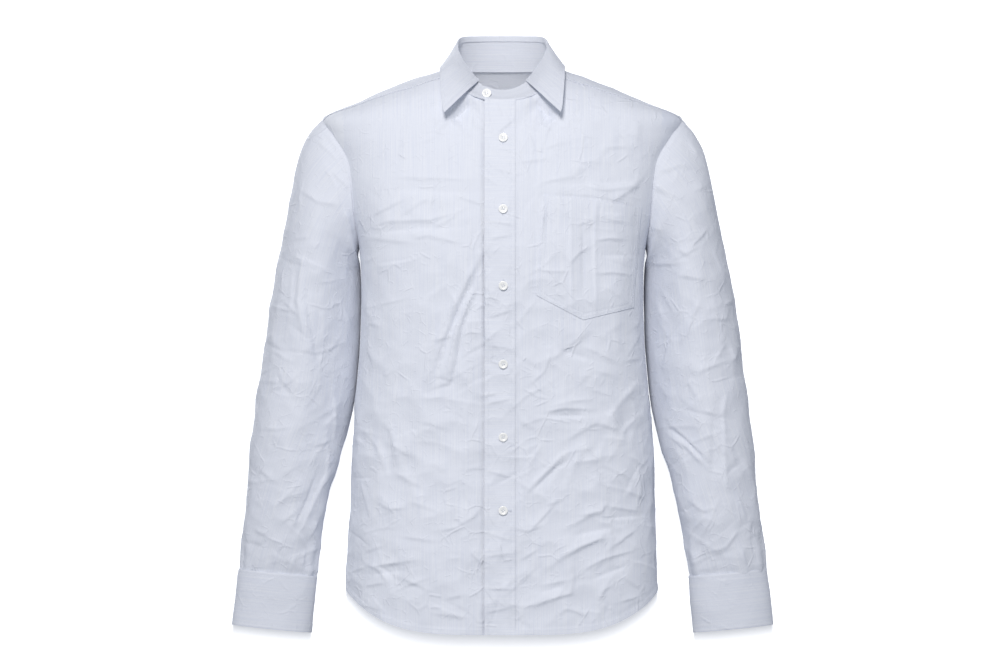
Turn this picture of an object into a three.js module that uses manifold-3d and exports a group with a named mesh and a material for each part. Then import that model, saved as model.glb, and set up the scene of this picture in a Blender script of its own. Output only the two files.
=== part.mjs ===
// Crumpled long-sleeved dress shirt, standing filled out and empty: every cut piece is a thin wall with
// its own name. Millimetres. +X is the wearer's left, -Y the front, +Z up. The origin is the middle of
// the neck base, where a wearer would hold the shirt up: Z = 0 is the height at which the shoulder line
// meets the collar.
import * as THREE from "three";
import { mergeVertices } from "three/addons/utils/BufferGeometryUtils.js";
import Module from "manifold-3d";

const wasm = await Module();
wasm.setup();

// Cloth
const CLOTH = 1.2; // wall of one layer of shirting
const FUSED = 1.8; // wall of the collar and cuffs, two layers fused to a lining
const SEAM = 0.3; // gap between two pieces sewn edge to edge, and between two layers

// Body
const HEM_LOW = -703; // hem at the centre front and centre back
const HEM_RISE = 58; // how much higher the hem is at the side seams
const HEM_CURVE = 4.2; // how late the hem turns up
const NECK_FRONT = -38; // neckline at the centre front
const NECK_BACK = 5; // neckline at the sides and back
const NECK_OPEN = 31; // degrees over which the neckline dips in front
const ARM_TOP = -58; // highest point of the armhole
const ARM_LOW = -222; // lowest point of the armhole
const ARM_MIDDLE = (ARM_TOP + ARM_LOW) / 2;
const ARM_AHEAD = 55; // the armhole's reach to the front and to the back of the side seam
const ARM_BEHIND = 58;
const YOKE_TURN = 36; // degrees round the neckline where the yoke's front seam starts
const YOKE_ARM = 18; // degrees round the armhole, from its top, where the yoke's front seam ends
const YOKE_BACK = 54; // and where its back seam ends

// Front opening
const PLACKET_EDGE = -21.5; // free edge of the placket, on the wearer's right of the centre
const PLACKET_FOLD = 16; // its other edge
const UNDERLAP = 26; // width over which the under front settles below the upper one

// The body level by level: its half width, its depth ahead of and behind the side seams, and the exponent
// of the superellipse that makes the level round (2) or square.
const BODY = [
  { z: -712, wide: 194, front: 113, back: 121, round: 2.8 },
  { z: -610, wide: 192.5, front: 110, back: 117, round: 2.9 },
  { z: -510, wide: 188, front: 107, back: 112, round: 3 },
  { z: -430, wide: 183.5, front: 108, back: 112, round: 3 },
  { z: -340, wide: 177.5, front: 112, back: 119, round: 3 },
  { z: -270, wide: 176, front: 115, back: 126, round: 3 },
  { z: -222, wide: 178.5, front: 115, back: 129, round: 3 },
  { z: -180, wide: 189, front: 112.5, back: 128, round: 2.95 },
  { z: -141, wide: 198, front: 108, back: 124, round: 2.8 },
  { z: -110, wide: 206, front: 102, back: 119, round: 2.6 },
  { z: -80, wide: 219, front: 94, back: 113, round: 2.5 },
  { z: -57, wide: 222, front: 87, back: 106, round: 2.4 },
  { z: -38, wide: 179, front: 80, back: 98, round: 2.4 },
  { z: -24, wide: 146, front: 73, back: 90, round: 2.35 },
  { z: -10, wide: 112, front: 64, back: 79, round: 2.3 },
  { z: 0, wide: 83, front: 57, back: 71, round: 2.3 },
  { z: 5, wide: 67, front: 52, back: 66, round: 2.3 },
];

// The sleeve, section by section down the arm: the outer and inner edge of each section as seen from the
// front, how deep it is from front to back, and how far it hangs ahead of the side seam.
const SLEEVE = [
  { down: 0, outX: 223, outZ: -58, inX: 179.5, inZ: -222, deep: 112, ahead: 0 },
  { down: 24, outX: 238, outZ: -78, inX: 181, inZ: -231, deep: 118, ahead: 0 },
  { down: 54, outX: 252.5, outZ: -107, inX: 180.5, inZ: -240, deep: 122, ahead: 1 },
  { down: 90, outX: 262, outZ: -145, inX: 180, inZ: -250, deep: 123, ahead: 2 },
  { down: 125, outX: 269, outZ: -183, inX: 179.5, inZ: -263, deep: 122, ahead: 3 },
  { down: 165, outX: 277, outZ: -226, inX: 179.3, inZ: -281, deep: 120, ahead: 4 },
  { down: 208, outX: 286, outZ: -272, inX: 179.5, inZ: -306, deep: 118, ahead: 5 },
  { down: 250, outX: 292.5, outZ: -314, inX: 181, inZ: -338, deep: 115, ahead: 6 },
  { down: 295, outX: 299, outZ: -360, inX: 185.5, inZ: -378, deep: 111, ahead: 8 },
  { down: 345, outX: 305.5, outZ: -410, inX: 194, inZ: -424, deep: 106, ahead: 10 },
  { down: 395, outX: 311.5, outZ: -460, inX: 204.5, inZ: -473, deep: 100, ahead: 13 },
  { down: 445, outX: 316.5, outZ: -510, inX: 215, inZ: -523, deep: 91, ahead: 16 },
  { down: 500, outX: 322, outZ: -565, inX: 225.5, inZ: -577, deep: 76, ahead: 19 },
  { down: 554, outX: 326.8, outZ: -619, inX: 232.8, inZ: -628, deep: 53, ahead: 22 },
];
const CUFF = [
  { down: 0, outX: 328, outZ: -619.8, inX: 231.8, inZ: -628.9, deep: 55, ahead: 22 },
  { down: 35, outX: 332.5, outZ: -654.5, inX: 234.6, inZ: -664, deep: 53, ahead: 22.5 },
  { down: 70, outX: 337, outZ: -689.3, inX: 237.6, inZ: -699.2, deep: 50, ahead: 23 },
];
const ARM_BLEND = 110; // length of sleeve over which the armhole's own outline fades into the table's ovals
const SLEEVE_INSET = 1; // the sleeve head's oval is smaller than the armhole's by this much all round

// The collar from the centre front round to the centre back: where the stand leaves the neckline
// (degrees), its upper edge, the free edge of the leaf that folds down from there, and how far the leaf
// swells out on its way down.
const COLLAR = [
  { neck: 0, x: 0, y: -61, z: -25, outX: 45, outY: -100, outZ: -62, swellX: 0, swellY: -14 },
  { neck: 6, x: 15, y: -59.5, z: -22.5, outX: 58, outY: -98, outZ: -60, swellX: 0, swellY: -14 },
  { neck: 12.5, x: 29, y: -53, z: -15, outX: 71, outY: -92.5, outZ: -55, swellX: 0, swellY: -14 },
  { neck: 21.5, x: 41, y: -41, z: -1, outX: 75, outY: -80, outZ: -30, swellX: 2, swellY: -10 },
  { neck: 34, x: 50, y: -25, z: 13, outX: 78.5, outY: -58, outZ: -6, swellX: 4, swellY: -7 },
  { neck: 58, x: 55.5, y: -7, z: 27, outX: 80, outY: -24, outZ: 5, swellX: 5, swellY: -3 },
  { neck: 87, x: 57, y: 9, z: 35, outX: 80, outY: 12, outZ: 5.5, swellX: 5, swellY: 0 },
  { neck: 115, x: 51, y: 34, z: 42, outX: 68, outY: 50, outZ: 4, swellX: 4, swellY: 3 },
  { neck: 148, x: 29, y: 52.5, z: 44, outX: 39, outY: 75, outZ: 1, swellX: 2, swellY: 4 },
  { neck: 180, x: 0, y: 59, z: 44.5, outX: 0, outY: 82, outZ: 0, swellX: 0, swellY: 4.5 },
];
const LEAF_START = 12.5; // degrees round the neckline where the leaf's front edges are
const STAND_END = 10; // how far the stand's rounded ends reach past the edges of the front opening
const STAND_LIFT = 1; // the stand's foot above the neckline
const LEAF_ROLL = 3.3; // the leaf's fold stands this much over the stand's upper edge

// Pocket, as seen from the front
const POCKET = { left: 51, leftLow: 42, right: 172, rightLow: 160.5, tip: 99.5 };
const POCKET_Z = { left: -157, right: -171, leftLow: -280, rightLow: -294.5, tip: -310 };
const POCKET_GAP = 0.42; // between the pocket and the front, room for the cut edge's corners

// Buttons
const BUTTON = 11.5; // diameter
const BUTTON_LIFT = 0.6; // clearance below a button, room for its thread
const BUTTON_X = 1; // the row of buttons is this far to the wearer's left of the centre
const BUTTON_Z = [-86, -174, -268, -364.5, -454.5, -545];
const BUTTON_SIDES = 14;
const COLLAR_BUTTON = { x: -22, up: 0.5 }; // up is the share of the stand's height

// The largest folds, each a soft ridge (positive) or trough (negative) between two points seen from the
// front or back.
const FOLDS = [
  { x1: -19, z1: -228, x2: -56, z2: -300, wide: 9, high: -3.4, face: "front" },
  { x1: -56, z1: -300, x2: -92, z2: -398, wide: 10, high: -3.4, face: "front" },
  { x1: -34, z1: -262, x2: -50, z2: -322, wide: 8, high: 2.8, face: "front" },
  { x1: -50, z1: -322, x2: -62, z2: -392, wide: 9, high: 2.8, face: "front" },
  { x1: -138, z1: -131, x2: -40, z2: -135, wide: 11, high: 1.8, face: "front" },
  { x1: -168, z1: -196, x2: -50, z2: -176, wide: 10, high: -2.2, face: "front" },
  { x1: -152, z1: -434, x2: -129, z2: -496, wide: 10, high: -2.4, face: "front" },
  { x1: -168, z1: -596, x2: -116, z2: -618, wide: 10, high: 2.2, face: "front" },
  { x1: 78, z1: -140, x2: 178, z2: -142, wide: 10, high: -2, face: "front" },
  { x1: 64, z1: -358, x2: 112, z2: -322, wide: 10, high: -2.4, face: "front" },
  { x1: 52, z1: -424, x2: 116, z2: -416, wide: 10, high: 2.6, face: "front" },
  { x1: 24, z1: -508, x2: 104, z2: -460, wide: 11, high: -2.8, face: "front" },
  { x1: 34, z1: -520, x2: 120, z2: -436, wide: 10, high: 2.4, face: "front" },
  { x1: 30, z1: -575, x2: 128, z2: -590, wide: 11, high: 2.6, face: "front" },
  { x1: 60, z1: -630, x2: 166, z2: -572, wide: 11, high: -2.6, face: "front" },
  { x1: -120, z1: -150, x2: 40, z2: -190, wide: 13, high: -3, face: "back" },
  { x1: 130, z1: -170, x2: -20, z2: -250, wide: 12, high: 2.6, face: "back" },
  { x1: 10, z1: -290, x2: 110, z2: -380, wide: 12, high: -3, face: "back" },
  { x1: -130, z1: -300, x2: -30, z2: -400, wide: 12, high: 2.6, face: "back" },
  { x1: -60, z1: -450, x2: 90, z2: -500, wide: 12, high: -2.8, face: "back" },
  { x1: 130, z1: -560, x2: 20, z2: -620, wide: 12, high: 2.6, face: "back" },
  { x1: -140, z1: -520, x2: -40, z2: -600, wide: 12, high: -2.6, face: "back" },
  { x1: -238, z1: -236, x2: -236, z2: -360, wide: 10, high: -3, face: "front" },
  { x1: -214, z1: -420, x2: -228, z2: -545, wide: 9, high: 2.6, face: "front" },
  { x1: -288, z1: -512, x2: -250, z2: -575, wide: 9, high: -2.6, face: "front" },
  { x1: 213, z1: -439, x2: 262, z2: -486, wide: 9, high: 3, face: "front" },
  { x1: 208, z1: -452, x2: 260, z2: -498, wide: 8, high: -2.6, face: "front" },
  { x1: 279, z1: -410, x2: 282, z2: -534, wide: 9, high: 2.6, face: "front" },
  { x1: 190, z1: -130, x2: 248, z2: -122, wide: 9, high: -2.4, face: "front" },
  { x1: 240, z1: -300, x2: 282, z2: -400, wide: 11, high: -3, face: "back" },
  { x1: -240, z1: -280, x2: -290, z2: -380, wide: 11, high: -3, face: "back" },
  { x1: 225, z1: -450, x2: 300, z2: -520, wide: 10, high: 2.8, face: "back" },
  { x1: -225, z1: -430, x2: -300, z2: -500, wide: 10, high: 2.8, face: "back" },
];

// How finely each piece is divided
const ARM_STEP = 18; // degrees round the armhole between two columns of any piece that meets it
const NECK_COLUMNS = 3; // columns of a front that end at the neckline, beside those of the placket
const SHOULDER_COLUMNS = 5; // those that end at the yoke's front seam, which is also the rows of the yoke
const YOKE_COLUMNS = 8; // columns of half the back that end at the yoke's back seam
const FRONT_ROWS = 30;
const BACK_ROWS = 24;
const SLEEVE_ROWS = 22;

const rad = THREE.MathUtils.degToRad;
const { clamp, lerp, smoothstep } = THREE.MathUtils;

// A smooth value from one column of a table: a cubic between rows, whose slope at a row is that between
// its neighbours.
function along(table, by, column, x) {
  const last = table.length - 1;
  let i = 0;
  while (i < last - 1 && x > table[i + 1][by]) i++;
  const slope = (k) => {
    const a = table[Math.max(k - 1, 0)];
    const b = table[Math.min(k + 1, last)];
    return (b[column] - a[column]) / (b[by] - a[by]);
  };
  const step = table[i + 1][by] - table[i][by];
  const t = clamp((x - table[i][by]) / step, -0.2, 1.2);
  const t2 = t * t;
  const t3 = t2 * t;
  return (
    table[i][column] * (2 * t3 - 3 * t2 + 1) +
    table[i + 1][column] * (3 * t2 - 2 * t3) +
    step * (slope(i) * (t3 - 2 * t2 + t) + slope(i + 1) * (t3 - t2))
  );
}

// The body's surface: turn is the angle round it from the centre front, positive towards the wearer's left.
function bodyPoint(turn, z) {
  const side = Math.sin(turn);
  const ahead = Math.cos(turn);
  const round = along(BODY, "z", "round", z);
  const reach = (Math.abs(side) ** round + Math.abs(ahead) ** round) ** (-1 / round);
  const depth = along(BODY, "z", ahead > 0 ? "front" : "back", z);
  const wide = along(BODY, "z", "wide", z);
  return new THREE.Vector3(wide * side * reach, -depth * ahead * reach, z);
}

// The turn at which the front of the body has a given x.
function turnAt(x, z) {
  const q = clamp(x / along(BODY, "z", "wide", z), -1, 1);
  const round = along(BODY, "z", "round", z);
  return Math.atan2(q, (1 - Math.abs(q) ** round) ** (1 / round));
}

// The outward normal of a surface of two parameters, from points a little to each side.
function normalOf(surface, u, v, du, dv) {
  const across = surface(u + du, v).sub(surface(u - du, v));
  const up = surface(u, v + dv).sub(surface(u, v - dv));
  return across.cross(up).normalize();
}

// How far the folds lift a point of the cloth: each fold is a bell across its line and fades at its ends.
function foldLift(at, out) {
  let lift = 0;
  for (const fold of FOLDS) {
    const facing = clamp(1.6 * (fold.face === "front" ? -out.y : out.y), 0, 1);
    if (facing === 0) continue;
    const dx = fold.x2 - fold.x1;
    const dz = fold.z2 - fold.z1;
    const length2 = dx * dx + dz * dz;
    const t = clamp(((at.x - fold.x1) * dx + (at.z - fold.z1) * dz) / length2, 0, 1);
    const off2 = (at.x - fold.x1 - t * dx) ** 2 + (at.z - fold.z1 - t * dz) ** 2;
    const end = smoothstep(t, 0, 0.3) * smoothstep(1 - t, 0, 0.3) * 0.7 + 0.3;
    lift += facing * end * fold.high * Math.exp(-off2 / fold.wide ** 2);
  }
  return lift;
}

// A point of cloth on the body, with its normal, moved by the folds, which fade at the armhole, and by any more
// lift.
function bodyCloth(turn, z, more = 0) {
  const at = bodyPoint(turn, z);
  const out = normalOf(bodyPoint, turn, z, 0.002, 0.2);
  const reach = at.y < 0 ? ARM_AHEAD : ARM_BEHIND;
  const fromArm = Math.hypot(at.y / reach, (z - ARM_MIDDLE) / (ARM_TOP - ARM_MIDDLE));
  const calm = smoothstep(fromArm, 1, 1.3);
  return { at: at.addScaledVector(out, calm * foldLift(at, out) + more), out };
}

const neckline = (turn) =>
  NECK_BACK - (NECK_BACK - NECK_FRONT) * Math.exp(-((turn / rad(NECK_OPEN)) ** 2));

// The hem is lowest at the centre front and back, and turns up late, by the share of the half width at
// each turn.
function hemAt(turn) {
  const share = bodyPoint(turn, HEM_LOW).x / along(BODY, "z", "wide", HEM_LOW);
  return HEM_LOW + HEM_RISE * Math.abs(share) ** HEM_CURVE;
}

// The armhole on the body's surface: an oval seen from the side, made smaller by inset. Degrees from its
// top, positive towards the front.
function armhole(degrees, inset = 0) {
  const z = ARM_MIDDLE + (ARM_TOP - ARM_MIDDLE - inset) * Math.cos(rad(degrees));
  const front = Math.sin(rad(degrees)) >= 0;
  const y = ((front ? ARM_AHEAD : ARM_BEHIND) - inset) * Math.abs(Math.sin(rad(degrees)));
  const c = y / along(BODY, "z", front ? "front" : "back", z);
  const round = along(BODY, "z", "round", z);
  const turn = Math.atan2((1 - c ** round) ** (1 / round), c);
  return { turn: front ? turn : Math.PI - turn, z };
}

// The wall of a piece: its grid of points, the same points moved in by its thickness, and the edges
// between.
function wall(grid, thick, lift = 0, ring = false) {
  const rows = grid.length;
  const columns = grid[0].length;
  const points = [];
  for (const depth of [lift, lift - thick])
    for (const row of grid)
      for (const { at, out } of row) points.push(...at.clone().addScaledVector(out, depth));
  const id = (side, i, j) => (side * rows + i) * columns + (j % columns);
  const faces = [];
  const quad = (a, b, c, d) => faces.push(a, b, c, a, c, d);
  const spans = ring ? columns : columns - 1;
  for (let i = 0; i < rows - 1; i++)
    for (let j = 0; j < spans; j++) {
      quad(id(0, i, j), id(0, i, j + 1), id(0, i + 1, j + 1), id(0, i + 1, j));
      quad(id(1, i, j), id(1, i + 1, j), id(1, i + 1, j + 1), id(1, i, j + 1));
    }
  for (let j = 0; j < spans; j++) {
    quad(id(0, 0, j), id(1, 0, j), id(1, 0, j + 1), id(0, 0, j + 1));
    const top = rows - 1;
    quad(id(0, top, j), id(0, top, j + 1), id(1, top, j + 1), id(1, top, j));
  }
  if (!ring)
    for (let i = 0; i < rows - 1; i++) {
      quad(id(0, i, 0), id(0, i + 1, 0), id(1, i + 1, 0), id(1, i, 0));
      const end = columns - 1;
      quad(id(0, i, end), id(1, i, end), id(1, i + 1, end), id(0, i + 1, end));
    }
  const geometry = new THREE.BufferGeometry();
  geometry.setAttribute("position", new THREE.Float32BufferAttribute(points, 3));
  geometry.setIndex(faces);
  geometry.computeVertexNormals();
  return facingOut(geometry);
}

// Turns every face round when the closed surface encloses a negative volume.
function facingOut(geometry) {
  const p = geometry.attributes.position;
  const index = geometry.index.array;
  const corner = [0, 1, 2].map(() => new THREE.Vector3());
  let volume = 0;
  for (let i = 0; i < index.length; i += 3) {
    corner.forEach((v, k) => v.fromBufferAttribute(p, index[i + k]));
    volume += corner[0].dot(corner[1].clone().cross(corner[2]));
  }
  if (volume < 0)
    for (let i = 0; i < index.length; i += 3) [index[i], index[i + 1]] = [index[i + 1], index[i]];
  return geometry;
}

const makeGrid = (rows, columns, point) =>
  Array.from({ length: rows + 1 }, (_, i) =>
    Array.from({ length: columns + 1 }, (_, j) => point(i / rows, j / columns, j)),
  );

// Moves a whole piece a hair off its neighbours.
function moved(grid, x, y, z) {
  for (const row of grid) for (const { at } of row) at.add(new THREE.Vector3(x, y, z));
  return grid;
}

// The turn, counted from the middle of the front or of the back, at which that panel ends at a height: at
// the armhole, or below it at the side seam. Above its last point at the armhole the edge goes straight up.
function panelEdge(z, front) {
  const highest = Math.cos(rad(front ? YOKE_ARM : YOKE_BACK));
  const up = clamp((z - ARM_MIDDLE) / (ARM_TOP - ARM_MIDDLE), -1, highest);
  const degrees = THREE.MathUtils.radToDeg(Math.acos(up));
  return front ? armhole(degrees).turn : Math.PI - armhole(-degrees).turn;
}

// Front: columns hang from the hem to the neckline, the yoke seam or the armhole. Those near the opening
// are straight and those near the side seam follow the side of the body.
const STRAIGHT_UP_TO = 0.1; // shares of a front's columns between which they change from straight to curved
const FOLLOWS_FROM = 0.45;
const FRONT_COLUMNS = NECK_COLUMNS + SHOULDER_COLUMNS + (180 - YOKE_ARM) / ARM_STEP;

// The upper end of a front's column, counted from the placket's fold.
function frontTop(column) {
  const start = turnAt(PLACKET_FOLD, NECK_FRONT);
  const yoke = rad(YOKE_TURN);
  if (column <= NECK_COLUMNS) {
    const turn = lerp(start, yoke, column / NECK_COLUMNS);
    return { turn, z: neckline(turn) };
  }
  const past = column - NECK_COLUMNS;
  if (past <= SHOULDER_COLUMNS) {
    const end = armhole(YOKE_ARM);
    const t = past / SHOULDER_COLUMNS;
    return { turn: lerp(yoke, end.turn, t), z: lerp(neckline(yoke), end.z, t) };
  }
  return armhole(YOKE_ARM + (past - SHOULDER_COLUMNS) * ARM_STEP);
}

// One column of a front, as a function of the height share v, on the side given by sign.
function frontColumn(column, sign) {
  const share = column / FRONT_COLUMNS;
  const low = { turn: lerp(turnAt(PLACKET_FOLD, HEM_LOW), Math.PI / 2, share) };
  low.z = hemAt(low.turn);
  const top = frontTop(column);
  const lowX = bodyPoint(low.turn, low.z).x;
  const topX = bodyPoint(top.turn, top.z).x;
  const lowShare = low.turn / panelEdge(low.z, true);
  const topShare = top.turn / panelEdge(top.z, true);
  const follow = smoothstep(share, STRAIGHT_UP_TO, FOLLOWS_FROM);
  return (v) => {
    const z = lerp(low.z, top.z, v);
    const straight = turnAt(lerp(lowX, topX, v), z);
    const curved = lerp(lowShare, topShare, v) * panelEdge(z, true);
    return { turn: sign * lerp(straight, curved, follow), z };
  };
}

// A straight column by the opening.
function openingColumn(x) {
  const low = hemAt(turnAt(x, HEM_LOW));
  const top = neckline(turnAt(x, NECK_FRONT));
  return (v) => ({ turn: turnAt(x, lerp(low, top, v)), z: lerp(low, top, v) });
}

function frontGrid(sign) {
  const opening = [PLACKET_EDGE, (PLACKET_EDGE + PLACKET_FOLD) / 2, PLACKET_FOLD].map(openingColumn);
  const sides = Array.from({ length: FRONT_COLUMNS }, (_, j) => frontColumn(j + 1, sign));
  // The wearer's right front reaches as far as the placket's fold, below the left one; both grids run
  // towards +X.
  const columns = sign > 0 ? [...opening, ...sides] : [...sides.reverse(), ...opening];
  const tuck = CLOTH + SEAM;
  return moved(
    makeGrid(FRONT_ROWS, columns.length - 1, (v, _, j) => {
      const { turn, z } = columns[j](v);
      const x = bodyPoint(turn, z).x;
      const under = sign < 0 ? -tuck * smoothstep(x, PLACKET_EDGE - UNDERLAP, PLACKET_EDGE - 2) : 0;
      return bodyCloth(turn, z, under);
    }),
    0,
    -SEAM,
    0,
  );
}

// The edge that the back and the yoke share out to the armhole, for a column counted from the centre
// back: the yoke's back seam, then the armhole, downwards for the back and over the shoulder for the
// yoke.
function backEdge(column, armStep) {
  const corner = armhole(-YOKE_BACK);
  if (column <= YOKE_COLUMNS) {
    return { turn: lerp(Math.PI, corner.turn, column / YOKE_COLUMNS), z: corner.z };
  }
  return armhole(-YOKE_BACK + (column - YOKE_COLUMNS) * armStep);
}

// Back: columns hang from the hem to the yoke seam or the armhole, on both sides of the centre.
function backGrid() {
  const half = YOKE_COLUMNS + (180 - YOKE_BACK) / ARM_STEP;
  return moved(
    makeGrid(BACK_ROWS, 2 * half, (v, _, j) => {
      const column = Math.abs(j - half);
      const low = column / half;
      const top = backEdge(column, -ARM_STEP);
      const topShare = (Math.PI - top.turn) / panelEdge(top.z, false);
      const z = lerp(hemAt((low * Math.PI) / 2), top.z, v);
      const turn = Math.PI - lerp(low, topShare, v) * panelEdge(z, false);
      return bodyCloth((j < half ? -1 : 1) * turn, z);
    }),
    0,
    0,
    -SEAM,
  );
}

// Yoke: lines run out from the neckline to the back seam or over the shoulder to the armhole.
const YOKE_HALF = YOKE_COLUMNS + (YOKE_BACK + YOKE_ARM) / ARM_STEP;
const yokeNeck = (column) => lerp(Math.PI, rad(YOKE_TURN), column / YOKE_HALF);

function yokeGrid() {
  return makeGrid(SHOULDER_COLUMNS, 2 * YOKE_HALF, (v, _, j) => {
    const column = Math.abs(j - YOKE_HALF);
    const neck = yokeNeck(column);
    const edge = backEdge(column, ARM_STEP);
    const turn = lerp(neck, edge.turn, v);
    return bodyCloth((j < YOKE_HALF ? -1 : 1) * turn, lerp(neckline(neck), edge.z, v));
  });
}

// Sleeve and cuff: ovals between the outer and inner edges, angle 0 at the outer edge and 90 degrees at
// the front.
function ovalPoint(table, angle, down) {
  const value = (column) => along(table, "down", column, down);
  const out = new THREE.Vector3(value("outX"), 0, value("outZ"));
  const inner = new THREE.Vector3(value("inX"), 0, value("inZ"));
  const middle = out.clone().add(inner).multiplyScalar(0.5);
  const at = middle.clone().addScaledVector(out.sub(middle), Math.cos(angle));
  at.y = -value("ahead") - (value("deep") / 2) * Math.sin(angle);
  return at;
}

function sleevePoint(angle, down) {
  const at = ovalPoint(SLEEVE, angle, down);
  const own = 1 - smoothstep(down, 0, ARM_BLEND);
  if (own === 0) return at;
  const degrees = THREE.MathUtils.euclideanModulo(THREE.MathUtils.radToDeg(angle) + 180, 360) - 180;
  const hole = armhole(degrees, SLEEVE_INSET);
  const edge = bodyPoint(hole.turn, hole.z);
  edge.x += SEAM;
  return at.addScaledVector(edge.sub(ovalPoint(SLEEVE, angle, 0)), own);
}

// A point of the sleeve's cloth. At the armhole its wall is mitred to the body's, except below the arm,
// where the two lie face to face.
function sleeveCloth(angle, down, sign) {
  const out = normalOf(sleevePoint, angle, Math.max(down, 0.4), 0.01, 0.4);
  const at = sleevePoint(angle, down);
  if (down === 0) {
    const hole = armhole(THREE.MathUtils.radToDeg(angle));
    const body = normalOf(bodyPoint, hole.turn, hole.z, 0.002, 0.2);
    out.lerp(body, smoothstep(out.dot(body), 0, 0.5)).normalize();
  }
  at.x *= sign;
  out.x *= sign;
  const calm = smoothstep(down, 0, 30) * smoothstep(Math.cos(angle), -1, -0.6);
  return { at: at.addScaledVector(out, calm * foldLift(at, out)), out };
}

const sleeveLength = SLEEVE.at(-1).down;
function sleeveGrid(sign) {
  return makeGrid(SLEEVE_ROWS, 360 / ARM_STEP - 1, (down, _, j) =>
    sleeveCloth(rad(j * ARM_STEP), down * sleeveLength, sign),
  );
}

// The cuff is a band that goes once round and laps over its own start by the button.
const CUFF_LAP = 26; // degrees of overlap
const CUFF_STEP = 30; // degrees beyond it over which the band settles on its own circle
const CUFF_START = 250; // degrees at which the lower end starts, at the back
const CUFF_ROWS = 3;
const CUFF_COLUMNS = 26;
function cuffGrid(sign) {
  const surface = (angle, down) => ovalPoint(CUFF, angle, down);
  const high = CUFF.at(-1).down;
  return makeGrid(CUFF_ROWS, CUFF_COLUMNS, (down, round) => {
    const degrees = round * (360 + CUFF_LAP);
    const own = smoothstep(degrees, CUFF_LAP + 2, CUFF_LAP + 2 + CUFF_STEP);
    const angle = rad(CUFF_START + degrees);
    const out = normalOf(surface, angle, clamp(down * high, 1, high - 1), 0.01, 0.5);
    const at = surface(angle, down * high).addScaledVector(out, -(FUSED + SEAM) * (1 - own));
    at.x *= sign;
    out.x *= sign;
    return { at, out };
  });
}

// The collar's rows, mirrored to the wearer's right and carried past the centre back so that the curve
// closes smoothly.
const collarRows = [];
for (let k = -COLLAR.length; k <= COLLAR.length; k++) {
  const past = Math.abs(k) === COLLAR.length;
  const row = COLLAR[past ? COLLAR.length - 2 : Math.abs(k)];
  const sign = Math.sign(k) * (past ? -1 : 1);
  const neck = Math.sign(k) * (past ? 360 - row.neck : row.neck);
  collarRows.push({ ...row, neck, x: sign * row.x, outX: sign * row.outX, swellX: sign * row.swellX });
}

// A point of the collar from three columns of the table.
function collarPoint(turn, x, y, z) {
  const neck = THREE.MathUtils.radToDeg(turn);
  const value = (column) => (column ? along(collarRows, "neck", column, neck) : 0);
  return new THREE.Vector3(value(x), value(y), value(z));
}

// The stand: from the neckline (up = 0) to its upper edge (up = 1).
function standPoint(turn, up) {
  const low = bodyPoint(turn, neckline(turn));
  low.z += STAND_LIFT;
  return low.lerp(collarPoint(turn, "x", "y", "z"), up);
}

function standNormal(turn, up) {
  const own = normalOf(standPoint, turn, clamp(up, 0.05, 0.95), 0.02, 0.04);
  const body = normalOf(bodyPoint, turn, neckline(turn), 0.002, 0.2);
  return body.lerp(own, smoothstep(up, 0, 0.3)).normalize();
}

// The turns at which the collar is divided, from beside the opening to the centre back: those of the
// neckline below it.
function collarTurns() {
  const turns = [];
  for (let i = 1; i <= NECK_COLUMNS; i++) turns.push(frontTop(i).turn);
  for (let i = YOKE_HALF - 1; i >= 0; i--) turns.push(yokeNeck(i));
  return turns;
}

// Columns of the stand: from its lower end, past the opening, round by the wearer's right and the back,
// past the opening again to its upper end. At each end is a rounded corner, short being the share of the
// height that is left.
function standColumns() {
  const turn = (x) => turnAt(x, NECK_FRONT);
  const opening = [PLACKET_FOLD, (PLACKET_FOLD + PLACKET_EDGE) / 2, PLACKET_EDGE].map(turn);
  const half = collarTurns();
  const end = (x, side) => [0.5, 0.85, 0.97].map((t) => ({
    turn: turn(x + side * t * STAND_END),
    share: Math.sqrt(1 - t * t),
  }));
  const full = (turns) => turns.map((t) => ({ turn: t, share: 1 }));
  const under = [...end(PLACKET_FOLD, 1).reverse(), ...full(opening)];
  const over = [...full(opening), ...end(PLACKET_EDGE, -1)];
  return [
    ...under.map((column) => ({ ...column, under: 1 })),
    { turn: -half[0], share: 1, under: 0.6 },
    ...full(half.slice(1).map((t) => -t)),
    ...full(half.slice(0, -1).reverse()),
    ...over,
  ];
}

function standGrid() {
  const columns = standColumns();
  return makeGrid(3, columns.length - 1, (up, _, j) => {
    const { turn, share, under = 0 } = columns[j];
    const out = standNormal(turn, up * share);
    return { at: standPoint(turn, up * share).addScaledVector(out, -(FUSED + SEAM) * under), out };
  });
}

// The leaf: folds over above the stand's upper edge and swells out on its way down to its free edge.
function leafPoint(turn, down) {
  const high = collarPoint(turn, "x", "y", "z");
  high.z += LEAF_ROLL;
  const low = collarPoint(turn, "outX", "outY", "outZ");
  const swell = collarPoint(turn, "swellX", "swellY", "");
  const rise = Math.sin(Math.PI * down ** 0.75);
  return high.lerp(low, down).addScaledVector(swell, rise);
}

function leafGrid() {
  const start = rad(LEAF_START);
  const turns = [start, ...collarTurns()];
  const columns = [...turns.map((t) => -t), ...turns.slice(0, -1).reverse()];
  const steps = [0, 0.04, 0.14, 0.35, 0.65, 1];
  return makeGrid(steps.length - 1, columns.length - 1, (v, _, j) => {
    const down = steps[Math.round(v * (steps.length - 1))];
    const out = normalOf(leafPoint, columns[j], clamp(down, 0.04, 0.97), 0.02, 0.03).negate();
    return { at: leafPoint(columns[j], down), out };
  });
}

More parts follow.
